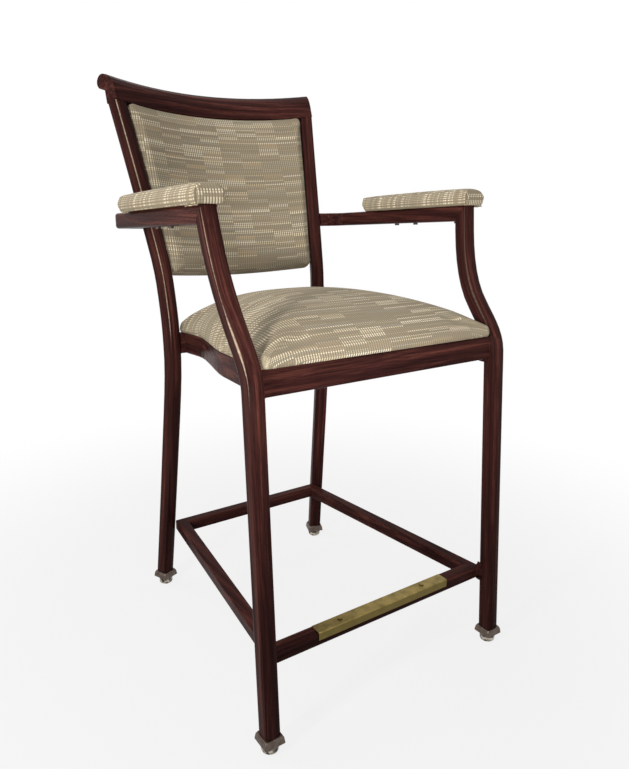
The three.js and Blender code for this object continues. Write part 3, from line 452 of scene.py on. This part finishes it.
FINISHES = {
    "foot_plate": brass,
    "screw": steel,
    "glide": nickel,
    "leg_cap": bronze,
    "board": plywood,
    "front_leg": leg_coat,
    "back_post": post_coat,
    "crest": crest_coat,
    "arm_rail": rearward_coat,
    "seat_rail_left": rearward_coat,
    "seat_rail_right": rearward_coat,
    "foot_rail_left": rearward_coat,
    "foot_rail_right": rearward_coat,
}


def finish_for(name):
    """The finish of the first word that the name holds, or else the coating of rails that lie across."""
    return next((finish for word, finish in FINISHES.items() if word in name), across_coat)


for name, node in nodes.items():
    for held in node.material_slots:
        held.material = finish_for(name)


# Upholstered pieces: each is laid over its plain solid and swells as foam under cloth.

SEAT_SLOPE = math.radians(-3.63)
SEAT = Matrix.Translation((0.0, 0.04 - FRONT_AXIS, 0.588)) @ Matrix.Rotation(SEAT_SLOPE, 4, "X")
RECLINE = math.radians(18.3)
PANEL_FACE = 18.0 * MM  # from the back's middle surface to its front and rear face
ARM_SLOPE = math.radians(-2.95)
ARM_CORNER = (0.253, 0.1411 - FRONT_AXIS, 0.792)
SWELL_FRAMES = 20
SWELL_PRESSURE = 4.0


def at(spots, value):
    """A result read from (place, result) pairs, with straight steps between them."""
    for (low, first), (high, last) in zip(spots, spots[1:]):
        if value <= high:
            break
    return first + (last - first) * (value - low) / (high - low)


def eased(spots, value):
    """The same, with the corners of the steps rounded."""
    reach = 0.02
    return (at(spots, value - reach) + at(spots, value) * 2.0 + at(spots, value + reach)) / 4.0


def arm_place(side):
    """The arm's own axes, from the corner over the front leg, with Y towards the rear."""
    x, y, z = ARM_CORNER
    return Matrix.Translation((side * x, y, z)) @ Matrix.Rotation(ARM_SLOPE, 4, "X")


def drop_reading(axes, shoulder, over):
    """The cloth lies over the top. Below the shoulder it goes on down the sides, the way over(place) says."""
    inward = axes.inverted()

    def reading(spot, normal):
        local = inward @ spot
        drop = max(0.0, shoulder - local.z)
        run_x, run_y = over(local)
        return local.x + drop * run_x, local.y + drop * run_y

    return reading


def back_point(across, height, forward):
    """The place of a point of the back, from metres across, its height on the posts, and metres forward."""
    radius = eased(BACK_SIDE, height) / math.sin(SWEEP)
    angle = across / radius
    bow = radius * (math.cos(angle) - math.cos(SWEEP))
    depth = eased(BACK_DEPTH, height) - FRONT_AXIS
    y = depth + bow * math.cos(RECLINE)
    z = height - bow * math.sin(RECLINE)
    ahead = (-math.sin(angle), -math.cos(angle) * math.cos(RECLINE), math.cos(angle) * math.sin(RECLINE))
    return Vector((radius * math.sin(angle), y, z)) + Vector(ahead) * forward


def back_spot(spot):
    """Across, up and behind the back's curved middle surface."""
    height = spot.z
    for _ in range(3):
        radius = eased(BACK_SIDE, height) / math.sin(SWEEP)
        angle = math.asin(max(-0.9, min(0.9, spot.x / radius)))
        bow = radius * (math.cos(angle) - math.cos(SWEEP))
        height = spot.z + bow * math.sin(RECLINE)
    behind = (spot.y - eased(BACK_DEPTH, height) + FRONT_AXIS - bow * math.cos(RECLINE)) * math.cos(RECLINE)
    return radius * angle, height / math.cos(RECLINE), behind


def back_reading(facing):
    """The cloth lies over the back's curve and turns in round its edges. facing is -1 for the front."""
    def reading(spot, normal):
        across, up, behind = back_spot(spot)
        depth = max(0.0, (behind + PANEL_FACE) if facing < 0 else (PANEL_FACE - behind))
        return across + depth * normal.x * 0.9, up + depth * normal.z * 0.9

    return reading


def settle(piece):
    """Gives the piece the mesh that its modifiers make."""
    graph = bpy.context.evaluated_depsgraph_get()
    mesh = bpy.data.meshes.new_from_object(piece.evaluated_get(graph))
    piece.modifiers.clear()
    piece.data = mesh


def finer(share):
    """A share of -1 to 1, with the rows closer together towards both ends."""
    return math.sin(share * 1.2) / math.sin(1.2)


def corner_pull(past_x, past_y):
    """How far a place is drawn in where it lies past a round corner's middle on both sides."""
    over = Vector((past_x, past_y))
    if past_x <= 0.0 or past_y <= 0.0:
        return Vector((0.0, 0.0))
    return over - over * (max(past_x, past_y) / over.length)


def layered(*pairs):
    """Layers in metres, from millimetres of inset and of level. None stands for the plain solid's top."""
    return [(inset * MM, None if level is None else level * MM) for inset, level in pairs]


def closed_grid(place, layers, columns, rows):
    """A closed form: a face, a rim of layers round it, and a rear. place gives a point from two shares
    of -1 to 1 and a layer."""
    bm = bmesh.new()
    made = []
    bmesh.ops.create_grid(bm, x_segments=columns, y_segments=rows, size=1.0)
    made.append(bm.verts[:])
    rim = [edge for edge in bm.edges if edge.is_boundary]
    for _ in layers[1:]:
        grown = bmesh.ops.extrude_edge_only(bm, edges=rim)["geom"]
        rim = [item for item in grown if isinstance(item, bmesh.types.BMEdge) and item.is_boundary]
        made.append([item for item in grown if isinstance(item, bmesh.types.BMVert)])
    rear = bmesh.ops.create_grid(bm, x_segments=columns, y_segments=rows, size=1.0)["verts"]
    for verts, layer in zip([*made, rear], [*layers, layers[-1]]):
        for vert in verts:
            vert.co = place(finer(vert.co.x), finer(vert.co.y), layer)
    bmesh.ops.remove_doubles(bm, verts=bm.verts, dist=0.01 * MM)
    bmesh.ops.recalc_face_normals(bm, faces=bm.faces)
    return bm


def top_of(source, axes):
    """Tells how high the plain solid's top is over a place, in the piece's own axes."""
    bm = bmesh.new()
    bm.from_mesh(nodes[source].data)
    bmesh.ops.transform(bm, matrix=axes.inverted(), verts=bm.verts)
    tree = BVHTree.FromBMesh(bm)
    bm.free()

    def height(x, y):
        return tree.ray_cast((x, y, 1.0), (0.0, 0.0, -1.0))[0].z

    return height


def padded_piece(name, bm, shrink, cap, held, tidy=None):
    """The form, shrunk and swelled again as cloth under pressure, by cap at most. held tells which points
    stay, from their place. tidy gives a moved point its last place."""
    piece = meshed(name, bm)
    outward = [vertex.normal.copy() for vertex in piece.data.vertices]
    free = [not held(vertex.co) for vertex in piece.data.vertices]
    for vertex, normal, loose in zip(piece.data.vertices, outward, free):
        if loose:
            vertex.co -= normal * shrink
    before = [vertex.co.copy() for vertex in piece.data.vertices]
    still = piece.vertex_groups.new(name="still")
    still.add([place for place, loose in enumerate(free) if not loose], 1.0, "REPLACE")
    swell = piece.modifiers.new("swell", "CLOTH")
    swell.settings.vertex_group_mass = "still"
    swell.settings.use_pressure = True
    swell.settings.uniform_pressure_force = SWELL_PRESSURE
    swell.settings.effector_weights.gravity = 0.0
    for moment in range(1, SWELL_FRAMES + 1):
        bpy.context.scene.frame_set(moment)
    settle(piece)
    piece.vertex_groups.clear()
    bpy.context.scene.frame_set(1)
    for vertex, start, normal in zip(piece.data.vertices, before, outward):
        move = vertex.co - start
        if move.length > cap:
            move *= cap / move.length
        vertex.co = tidy(start, move) if tidy else start + move
    return piece


def smoothed(piece):
    for face in piece.data.polygons:
        face.use_smooth = True


def clothed(piece, reading, finish, node):
    """Maps the cloth, smooths the faces, and puts the piece in its node's place."""
    piece.data.materials.clear()
    piece.data.materials.append(finish)
    smoothed(piece)
    spots = [reading(vertex.co, vertex.normal) for vertex in piece.data.vertices]
    layer = piece.data.uv_layers.new(name="cloth")
    for loop, corner in zip(piece.data.loops, layer.data):
        corner.uv = spots[loop.vertex_index]
    smooth = piece.modifiers.new("smooth", "SUBSURF")
    smooth.levels = 1
    smooth.render_levels = 1
    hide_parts(node)
    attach(piece, "root")


SEAT_FRONT = -10.0 * MM
SEAT_REAR = 458.2 * MM
SEAT_HALF = [
    (-0.01, 0.2264), (0.0288, 0.2262), (0.0567, 0.2236), (0.0846, 0.2192), (0.1125, 0.2151), (0.1404, 0.2112),
    (0.1683, 0.207), (0.1962, 0.201), (0.2241, 0.1935), (0.252, 0.1852), (0.2799, 0.1769), (0.3078, 0.1694),
    (0.3357, 0.162), (0.3636, 0.1575), (0.3915, 0.1563), (0.4194, 0.156), (0.46, 0.156),
]
SEAT_ROOM = ((0.0, 1.6 * MM), (0.0288, 4.4 * MM), (0.06, 9.0 * MM))  # for insets, by metres from the front
SEAT_STILL = 8.0 * MM  # below this height the cloth is fixed
SEAT_WALL = 20.0 * MM  # below this height the cloth runs down the side
ROLL_REACH = 36.0 * MM  # in from the edge, where the top starts to curve down
ROLL_CLOTH = 12.0 * MM  # that the curve takes up
DRAWN_REACH = 85.0 * MM  # round a front corner, where the cloth is drawn forward
DRAWN_CLOTH = 26.0 * MM
CROWN_FROM = 24.0 * MM
CROWN_ROUNDS = 14
CORNER = 11.0 * MM


def seat():
    """The cushion: a crown that falls to round corners, and sides that turn in under its edge."""
    height = top_of("seat_cushion", SEAT)
    inward = SEAT.inverted()

    def place(run, rise, layer):
        inset, level = layer
        front = SEAT_FRONT + inset
        rear = SEAT_REAR - inset * 0.3
        y = front + (rear - front) * (rise + 1.0) / 2.0
        room = at(SEAT_ROOM, max(0.0, y))
        reach = at(SEAT_HALF, y) - min(inset, room)
        x = run * reach
        middle = (front + rear) / 2.0
        pull = corner_pull(abs(x) - reach + CORNER, abs(y - middle) - rear + middle + CORNER)
        x -= math.copysign(pull.x, x)
        y -= math.copysign(pull.y, rise)
        return SEAT @ Vector((x, y, height(x, y) if level is None else level))

    def held(spot):
        return (inward @ spot).z < SEAT_STILL

    def run_over(gap, wall):
        """How much cloth lies past an edge's start, where the top curves down and then the wall begins."""
        near = max(0.0, 1.0 - max(gap, 0.0) / ROLL_REACH)
        share = at(((-1.0, 1.0), (0.008, 1.0), (0.03, 0.0), (1.0, 0.0)), gap)
        return ROLL_CLOTH * near * near + wall * share

    def reading(spot, normal):
        local = inward @ spot
        wall = max(0.0, SEAT_WALL - local.z)
        side_gap = at(SEAT_HALF, local.y) - abs(local.x)
        front_gap = local.y - SEAT_FRONT
        share = at(((-1.0, 0.0), (-6.0 * MM, 0.0), (6.0 * MM, 1.0), (1.0, 1.0)), side_gap - front_gap)
        aside = run_over(side_gap, wall * (1.0 - share))
        ahead = run_over(front_gap, wall * share)
        behind = run_over(SEAT_REAR - local.y, wall)
        drawn = max(0.0, 1.0 - math.hypot(side_gap, front_gap) / DRAWN_REACH) ** 2 * DRAWN_CLOTH
        return local.x + math.copysign(aside, local.x), local.y - ahead + behind + drawn

    layers = layered((3.6, None), (1.2, 18.0), (0.0, 13.0), (0.2, 9.0), (1.2, 5.5), (2.8, 2.2), (4.2, 0.3),
                     (5.2, 0.6), (5.2, 12.6))
    form = closed_grid(place, layers, 76, 76)
    crown = [vert for vert in form.verts if (inward @ vert.co).z > CROWN_FROM]
    for _ in range(CROWN_ROUNDS):
        bmesh.ops.smooth_vert(form, verts=crown, factor=0.5, use_axis_z=True)
    piece = padded_piece("seat_pad", form, 1.2 * MM, 3.5 * MM, held)
    clothed(piece, reading, seat_cloth, "seat_cushion")


PANEL_LOW = 0.674
PANEL_HIGH = 0.9875
PANEL_GAP = 14.6 * MM  # from a back post's axis to the panel's edge
PANEL_STILL = 9.0 * MM  # nearer the middle surface than this the cloth is fixed


def panel_place(run, rise, layer):
    """A place on the back's curve, from shares of -1 to 1 and a layer of (inset, forward)."""
    inset, forward = layer
    low = PANEL_LOW + inset
    high = PANEL_HIGH - inset
    height = low + (high - low) * (rise + 1.0) / 2.0
    reach = eased(BACK_SIDE, height) * SWEEP / math.sin(SWEEP) - PANEL_GAP - inset
    across = run * reach
    middle = (low + high) / 2.0
    pull = corner_pull(abs(across) - reach + CORNER, abs(height - middle) - high + middle + CORNER)
    across -= math.copysign(pull.x, across)
    height -= math.copysign(pull.y, rise)
    return back_point(across, height, forward)


def back():
    """The padded front, which also stands for the board behind it, and the outer cover."""
    def front_held(spot):
        return back_spot(spot)[2] > -PANEL_STILL

    def rear_held(spot):
        return back_spot(spot)[2] < PANEL_STILL

    def forward(start, move):
        """Keeps the edges in line with the posts."""
        return start + Vector((move.x * 0.1, move.y, move.z * 0.3))

    layers = layered((1.5, 18.0), (0.3, 15.5), (0.0, 10.0), (0.0, 1.0), (0.0, -7.0))
    front = closed_grid(panel_place, layers, 64, 56)
    piece = padded_piece("back_pad", front, 0.0, 9.0 * MM, front_held, forward)
    clothed(piece, back_reading(-1), back_cloth, "back_cushion")
    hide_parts("back_board")
    layers = layered((1.5, -15.0), (0.3, -13.5), (0.0, -8.0))
    rear = closed_grid(panel_place, layers, 64, 56)
    piece = padded_piece("back_outer", rear, 0.0, 1.5 * MM, rear_held, forward)
    clothed(piece, back_reading(1), back_cloth, "back_cover")


PAD_INNER = -21.0 * MM
PAD_OUTER = 26.0 * MM
PAD_FRONT = -24.6 * MM
PAD_REAR = 265.0 * MM
PAD_SLANT = 30.0 * MM
PAD_LEAN = 10.0 * MM
PAD_CORNER = 6.0 * MM
PAD_MIDDLE = 2.5 * MM
PAD_TOP = 32.0 * MM
PAD_STILL = 19.0 * MM
PAD_SHOULDER = 36.0 * MM
LEAN_FROM = 14.0 * MM
LEAN_RISE = 16.0 * MM
FOLD_REACH = 30.0 * MM  # of the fold, the lip and the ear from a front corner
FOLD_DEPTH, FOLD_WIDTH = 4.5 * MM, 1.2 * MM
LIP_RISE, LIP_WIDTH, LIP_PLACE = 1.8 * MM, 1.8 * MM, 3.4 * MM
EAR_RISE, EAR_WIDTH, EAR_HEIGHT = 3.5 * MM, 6.0 * MM, 31.0 * MM
TUCK_WIDTH, TUCK_THICKNESS = 5.0 * MM, 1.3 * MM


def tuck(bm, place, side, length):
    """A fold of spare cloth that shows under the pad's outer edge."""
    sheet = bmesh.ops.create_grid(bm, x_segments=5, y_segments=16, size=1.0)["verts"]
    for vert in sheet:
        across, along = vert.co.x, vert.co.y
        full = 1.0 - along * along * 0.7
        wave = 0.5 * MM * math.sin(along * 7.0)
        x = side * across * TUCK_WIDTH * full
        vert.co = place @ Vector((x, along * length / 2.0, wave - across * 0.8 * MM))
    faces = list({face for vert in sheet for face in vert.link_faces})
    bmesh.ops.solidify(bm, geom=faces, thickness=TUCK_THICKNESS)


def bell(distance, width):
    return math.exp(-(distance / width) ** 2)


def arm_pad(side, word):
    """The pad's cloth is folded over at its two front corners, and its rear end leans out over the arm."""
    axes = arm_place(side)
    inward = axes.inverted()
    top = top_of("arm_pad_" + word, axes)

    def place(run, rise, layer):
        inset, level = layer
        lean = PAD_LEAN * max(0.0, min(1.0, ((level or PAD_TOP) - LEAN_FROM) / LEAN_RISE))
        low = PAD_INNER + inset
        high = PAD_OUTER - inset
        out = low + (high - low) * (run + 1.0) / 2.0
        front = PAD_FRONT + inset
        rear = PAD_REAR - inset + PAD_SLANT * (out - PAD_INNER) / (PAD_OUTER - PAD_INNER) + lean
        y = front + (rear - front) * (rise + 1.0) / 2.0
        middle = (low + high) / 2.0
        half = (front + rear) / 2.0
        past_end = abs(y - half) - rear + half + PAD_CORNER
        pull = corner_pull(abs(out - middle) - high + middle + PAD_CORNER, past_end)
        out -= math.copysign(pull.x, out - middle)
        y -= math.copysign(pull.y, rise)
        if level is None:
            level = top(side * out, min(y, front + (rear - front) * 0.92))
        return axes @ Vector((side * out, y, level))

    def held(spot):
        return (inward @ spot).z < PAD_STILL

    def over(spot):
        """The cloth meets itself at the corners, so each side has its own run of it."""
        out = side * spot.x
        aside = min(out - PAD_INNER, PAD_OUTER - out)
        ahead = spot.y - PAD_FRONT
        behind = PAD_REAR + PAD_LEAN + PAD_SLANT * (out - PAD_INNER) / (PAD_OUTER - PAD_INNER) - spot.y
        if min(ahead, behind) < aside:
            return 0.0, -1.0 if ahead < behind else 1.0
        return math.copysign(1.0, spot.x - side * PAD_MIDDLE), 0.0

    def folded(start, move):
        """Draws the cloth in along each front corner's fold, with a lip beside it."""
        spot = inward @ start
        out = side * spot.x
        ahead = spot.y - PAD_FRONT
        aside = min(out - PAD_INNER, PAD_OUTER - out)
        toward = Vector((side * math.copysign(1.0, out - PAD_MIDDLE), -1.0, 0.0)).normalized()
        line = ahead - aside
        near = max(0.0, 1.0 - math.hypot(ahead, aside) / FOLD_REACH)
        fold = bell(line, FOLD_WIDTH) * -FOLD_DEPTH
        lip = bell(line - LIP_PLACE, LIP_WIDTH) * LIP_RISE
        ear = bell(spot.z - EAR_HEIGHT, EAR_WIDTH) * bell(line, EAR_WIDTH) * EAR_RISE
        return start + move + axes.to_3x3() @ toward * ((fold + lip + ear) * near)

    layers = layered((3.6, None), (1.5, 31.2), (0.3, 27.5), (0.0, 23.5), (0.5, 19.5), (1.4, 16.0), (2.8, 13.6),
                     (3.8, 12.9), (4.3, 13.4), (4.3, 24.1))
    form = closed_grid(place, layers, 20, 84)
    for y, length in ((-2.0 * MM, 40.0 * MM), (272.0 * MM, 30.0 * MM)):
        tuck(form, axes @ Matrix.Translation((side * 21.5 * MM, y, 12.6 * MM)), side, length)
    piece = padded_piece("armrest_" + word, form, 0.8 * MM, 2.2 * MM, held, folded)
    clothed(piece, drop_reading(axes, PAD_SHOULDER, over), pad_cloth, "arm_pad_" + word)


# Welds: hollow fillets where one tube meets another.

def fillet(bm, place, size, length):
    """A hollow fillet along Z, in the corner of the faces whose directions are X and Y."""
    sheet = bmesh.ops.create_grid(bm, x_segments=5, y_segments=1, size=1.0)["verts"]
    edges = {edge for vert in sheet for edge in vert.link_edges if edge.is_boundary}
    grown = bmesh.ops.extrude_edge_only(bm, edges=list(edges))["geom"]
    root = [item for item in grown if isinstance(item, bmesh.types.BMVert)]
    for vert in sheet:
        turn = (vert.co.x + 1.0) * math.pi / 4.0
        x, y = size * (1.0 - math.sin(turn)), size * (1.0 - math.cos(turn))
        vert.co = place @ Vector((x, y, vert.co.y * length / 2.0))
    for vert in root:
        vert.co = place @ Vector((-0.3 * MM, -0.3 * MM, vert.co.y * length / 2.0))
    bmesh.ops.remove_doubles(bm, verts=[*sheet, *root], dist=0.01 * MM)


def corner(spot, first, second):
    """A corner's own axes: X and Y lie along its two faces."""
    x, y = Vector(first).normalized(), Vector(second).normalized()
    z = x.cross(y)
    return Matrix.Translation(spot) @ Matrix((x, y, z)).transposed().to_4x4()


# Each weld on the right side: its corner, the directions of the faces that meet there, and the fillet's
# size and length in millimetres.

LEFTWARD, REARWARD, FORWARD, UPWARD, DOWNWARD = (-1, 0, 0), (0, 1, 0), (0, -1, 0), (0, 0, 1), (0, 0, -1)
SEAT_WELDS = [
    (SEAT @ Vector((0.2268, 11.0 * MM, -40.0 * MM)), LEFTWARD, DOWNWARD, 7.0, 20.0),
    (SEAT @ Vector((0.2268, 0.0, -20.0 * MM)), LEFTWARD, FORWARD, 4.0, 38.0),
    (Vector((0.1660, 0.1527, 0.5201)), LEFTWARD, DOWNWARD, 7.0, 20.0),
]
RING_WELDS = [
    (Vector((0.2284, -0.3126, 0.14)), LEFTWARD, FORWARD, 9.0, 22.8),
    (Vector((0.2284, -0.3126, 0.1514)), LEFTWARD, UPWARD, 7.0, 12.0),
    (Vector((0.2284, -0.3126, 0.1286)), LEFTWARD, DOWNWARD, 7.0, 12.0),
    (Vector((0.2292, -0.3092, 0.14)), REARWARD, (1, 0, 0), 6.0, 22.0),
]


def welds(name, spots):
    """One piece of fillets, the same on both sides of the stool."""
    bm = bmesh.new()
    for spot, first, second, size, length in spots:
        fillet(bm, corner(spot, first, second), size * MM, length * MM)
    bmesh.ops.mirror(bm, geom=[*bm.verts, *bm.edges, *bm.faces], axis="X", merge_dist=0.0)
    bmesh.ops.recalc_face_normals(bm, faces=bm.faces)
    piece = meshed(name, bm)
    smoothed(piece)
    piece.data.materials.append(across_coat)
    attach(piece, "root")


seat()
back()
arm_pad(-1, "left")
arm_pad(1, "right")
welds("seat_welds", SEAT_WELDS)
welds("ring_welds", RING_WELDS)


# Camera, floor and light

FLOOR_REACH = 40.0
ROOM_LIGHT = 0.33
CAMERA_PLACE = (-0.6563, -0.7199 - FRONT_AXIS, 0.8083)
YAW, PITCH, ROLL = 0.597, 0.264, 0.008


def viewpoint():
    """The camera stands ahead and to the left, at about the arms' height."""
    data = bpy.data.cameras.new("camera")
    data.sensor_width = 36.0
    data.lens = 30.89
    data.clip_end = 50.0
    data.shift_x = 0.0013
    data.shift_y = -0.0043
    camera = placed("camera", data)
    bpy.context.scene.camera = camera
    aimed = Matrix.Rotation(-YAW, 4, "Z") @ Matrix.Rotation(math.pi / 2 - PITCH, 4, "X")
    camera.matrix_world = Matrix.Translation(CAMERA_PLACE) @ aimed @ Matrix.Rotation(ROLL, 4, "Z")


def backdrop():
    """A pale floor that takes the shadow and goes over to white away from the stool."""
    bm = bmesh.new()
    bmesh.ops.create_grid(bm, x_segments=1, y_segments=1, size=FLOOR_REACH)
    floor = meshed("floor", bm)
    finish = Finish("pale_floor")
    x, y, z = finish.place()
    far = finish.step((x * x + y * y) ** 0.5, 0.4, 1.4) * 0.16 + 0.84
    rays = ("Is Camera Ray", "Is Glossy Ray", "Is Transmission Ray")
    seen, mirrored, clear = (finish.node("ShaderNodeLightPath", out=ray) for ray in rays)
    shown = (seen + mirrored + clear).clip()
    glow = finish.node("ShaderNodeEmission", values={0: (1.0, 1.0, 1.0), 1: 1.0})
    finish.set(Base_Color=(0.4, 0.4, 0.4), Roughness=0.9, Specular_IOR_Level=0.0)
    matt = Reading(finish, finish.surface.outputs[0])
    finish.show(finish.node("ShaderNodeMixShader", values={0: far * shown, 1: matt, 2: glow}))
    floor.data.materials.append(finish.material)


def lamp(name, place, aim, size, power, colour=(1.0, 1.0, 1.0), spread=180.0):
    data = bpy.data.lights.new(name, "AREA")
    data.shape = "RECTANGLE"
    data.size, data.size_y = size
    data.energy = power
    data.color = colour
    data.spread = math.radians(spread)
    light = placed(name, data)
    light.location = place
    light.rotation_euler = (Vector(aim) - Vector(place)).to_track_quat("-Z", "Y").to_euler()


def surroundings():
    """White behind the stool and in what glossy faces mirror, and a dim warm light on its matt faces."""
    world = bpy.data.worlds.new("studio")
    bpy.context.scene.world = world
    world.use_nodes = True
    tree = world.node_tree
    tree.nodes.clear()
    path = tree.nodes.new("ShaderNodeLightPath")
    dim = tree.nodes.new("ShaderNodeBackground")
    dim.inputs[0].default_value = (1.0, 0.98, 0.95, 1.0)
    dim.inputs[1].default_value = ROOM_LIGHT
    white = tree.nodes.new("ShaderNodeBackground")
    white.inputs[1].default_value = 1.0
    white.inputs[0].default_value = (1.0, 1.0, 1.0, 1.0)
    mix = tree.nodes.new("ShaderNodeMixShader")
    output = tree.nodes.new("ShaderNodeOutputWorld")
    seen = tree.nodes.new("ShaderNodeMath")
    also = tree.nodes.new("ShaderNodeMath")
    seen.operation = also.operation = "MAXIMUM"
    tree.links.new(path.outputs["Is Camera Ray"], seen.inputs[0])
    tree.links.new(path.outputs["Is Glossy Ray"], seen.inputs[1])
    tree.links.new(seen.outputs[0], also.inputs[0])
    tree.links.new(path.outputs["Is Transmission Ray"], also.inputs[1])
    tree.links.new(also.outputs[0], mix.inputs[0])
    tree.links.new(dim.outputs[0], mix.inputs[1])
    tree.links.new(white.outputs[0], mix.inputs[2])
    tree.links.new(mix.outputs[0], output.inputs[0])


viewpoint()
backdrop()
surroundings()
lamp("strip", (-1.25, -0.5, 0.95), (0.0, -0.1, 0.75), (0.1, 0.8), 13.0, (1.0, 0.96, 0.9))
lamp("low", (-0.55, -1.3, 0.5), (0.05, -0.2, 0.66), (0.5, 0.3), 1.3, (1.0, 0.97, 0.93), 50.0)
lamp("ceiling", (0.2, -0.3, 2.6), (0.0, 0.0, 0.5), (1.6, 1.6), 12.0)
lamp("rear", (-0.9, 0.9, 2.0), (0.0, -0.1, 0.6), (0.8, 0.8), 12.0)
bpy.context.scene.view_settings.view_transform = "Standard"
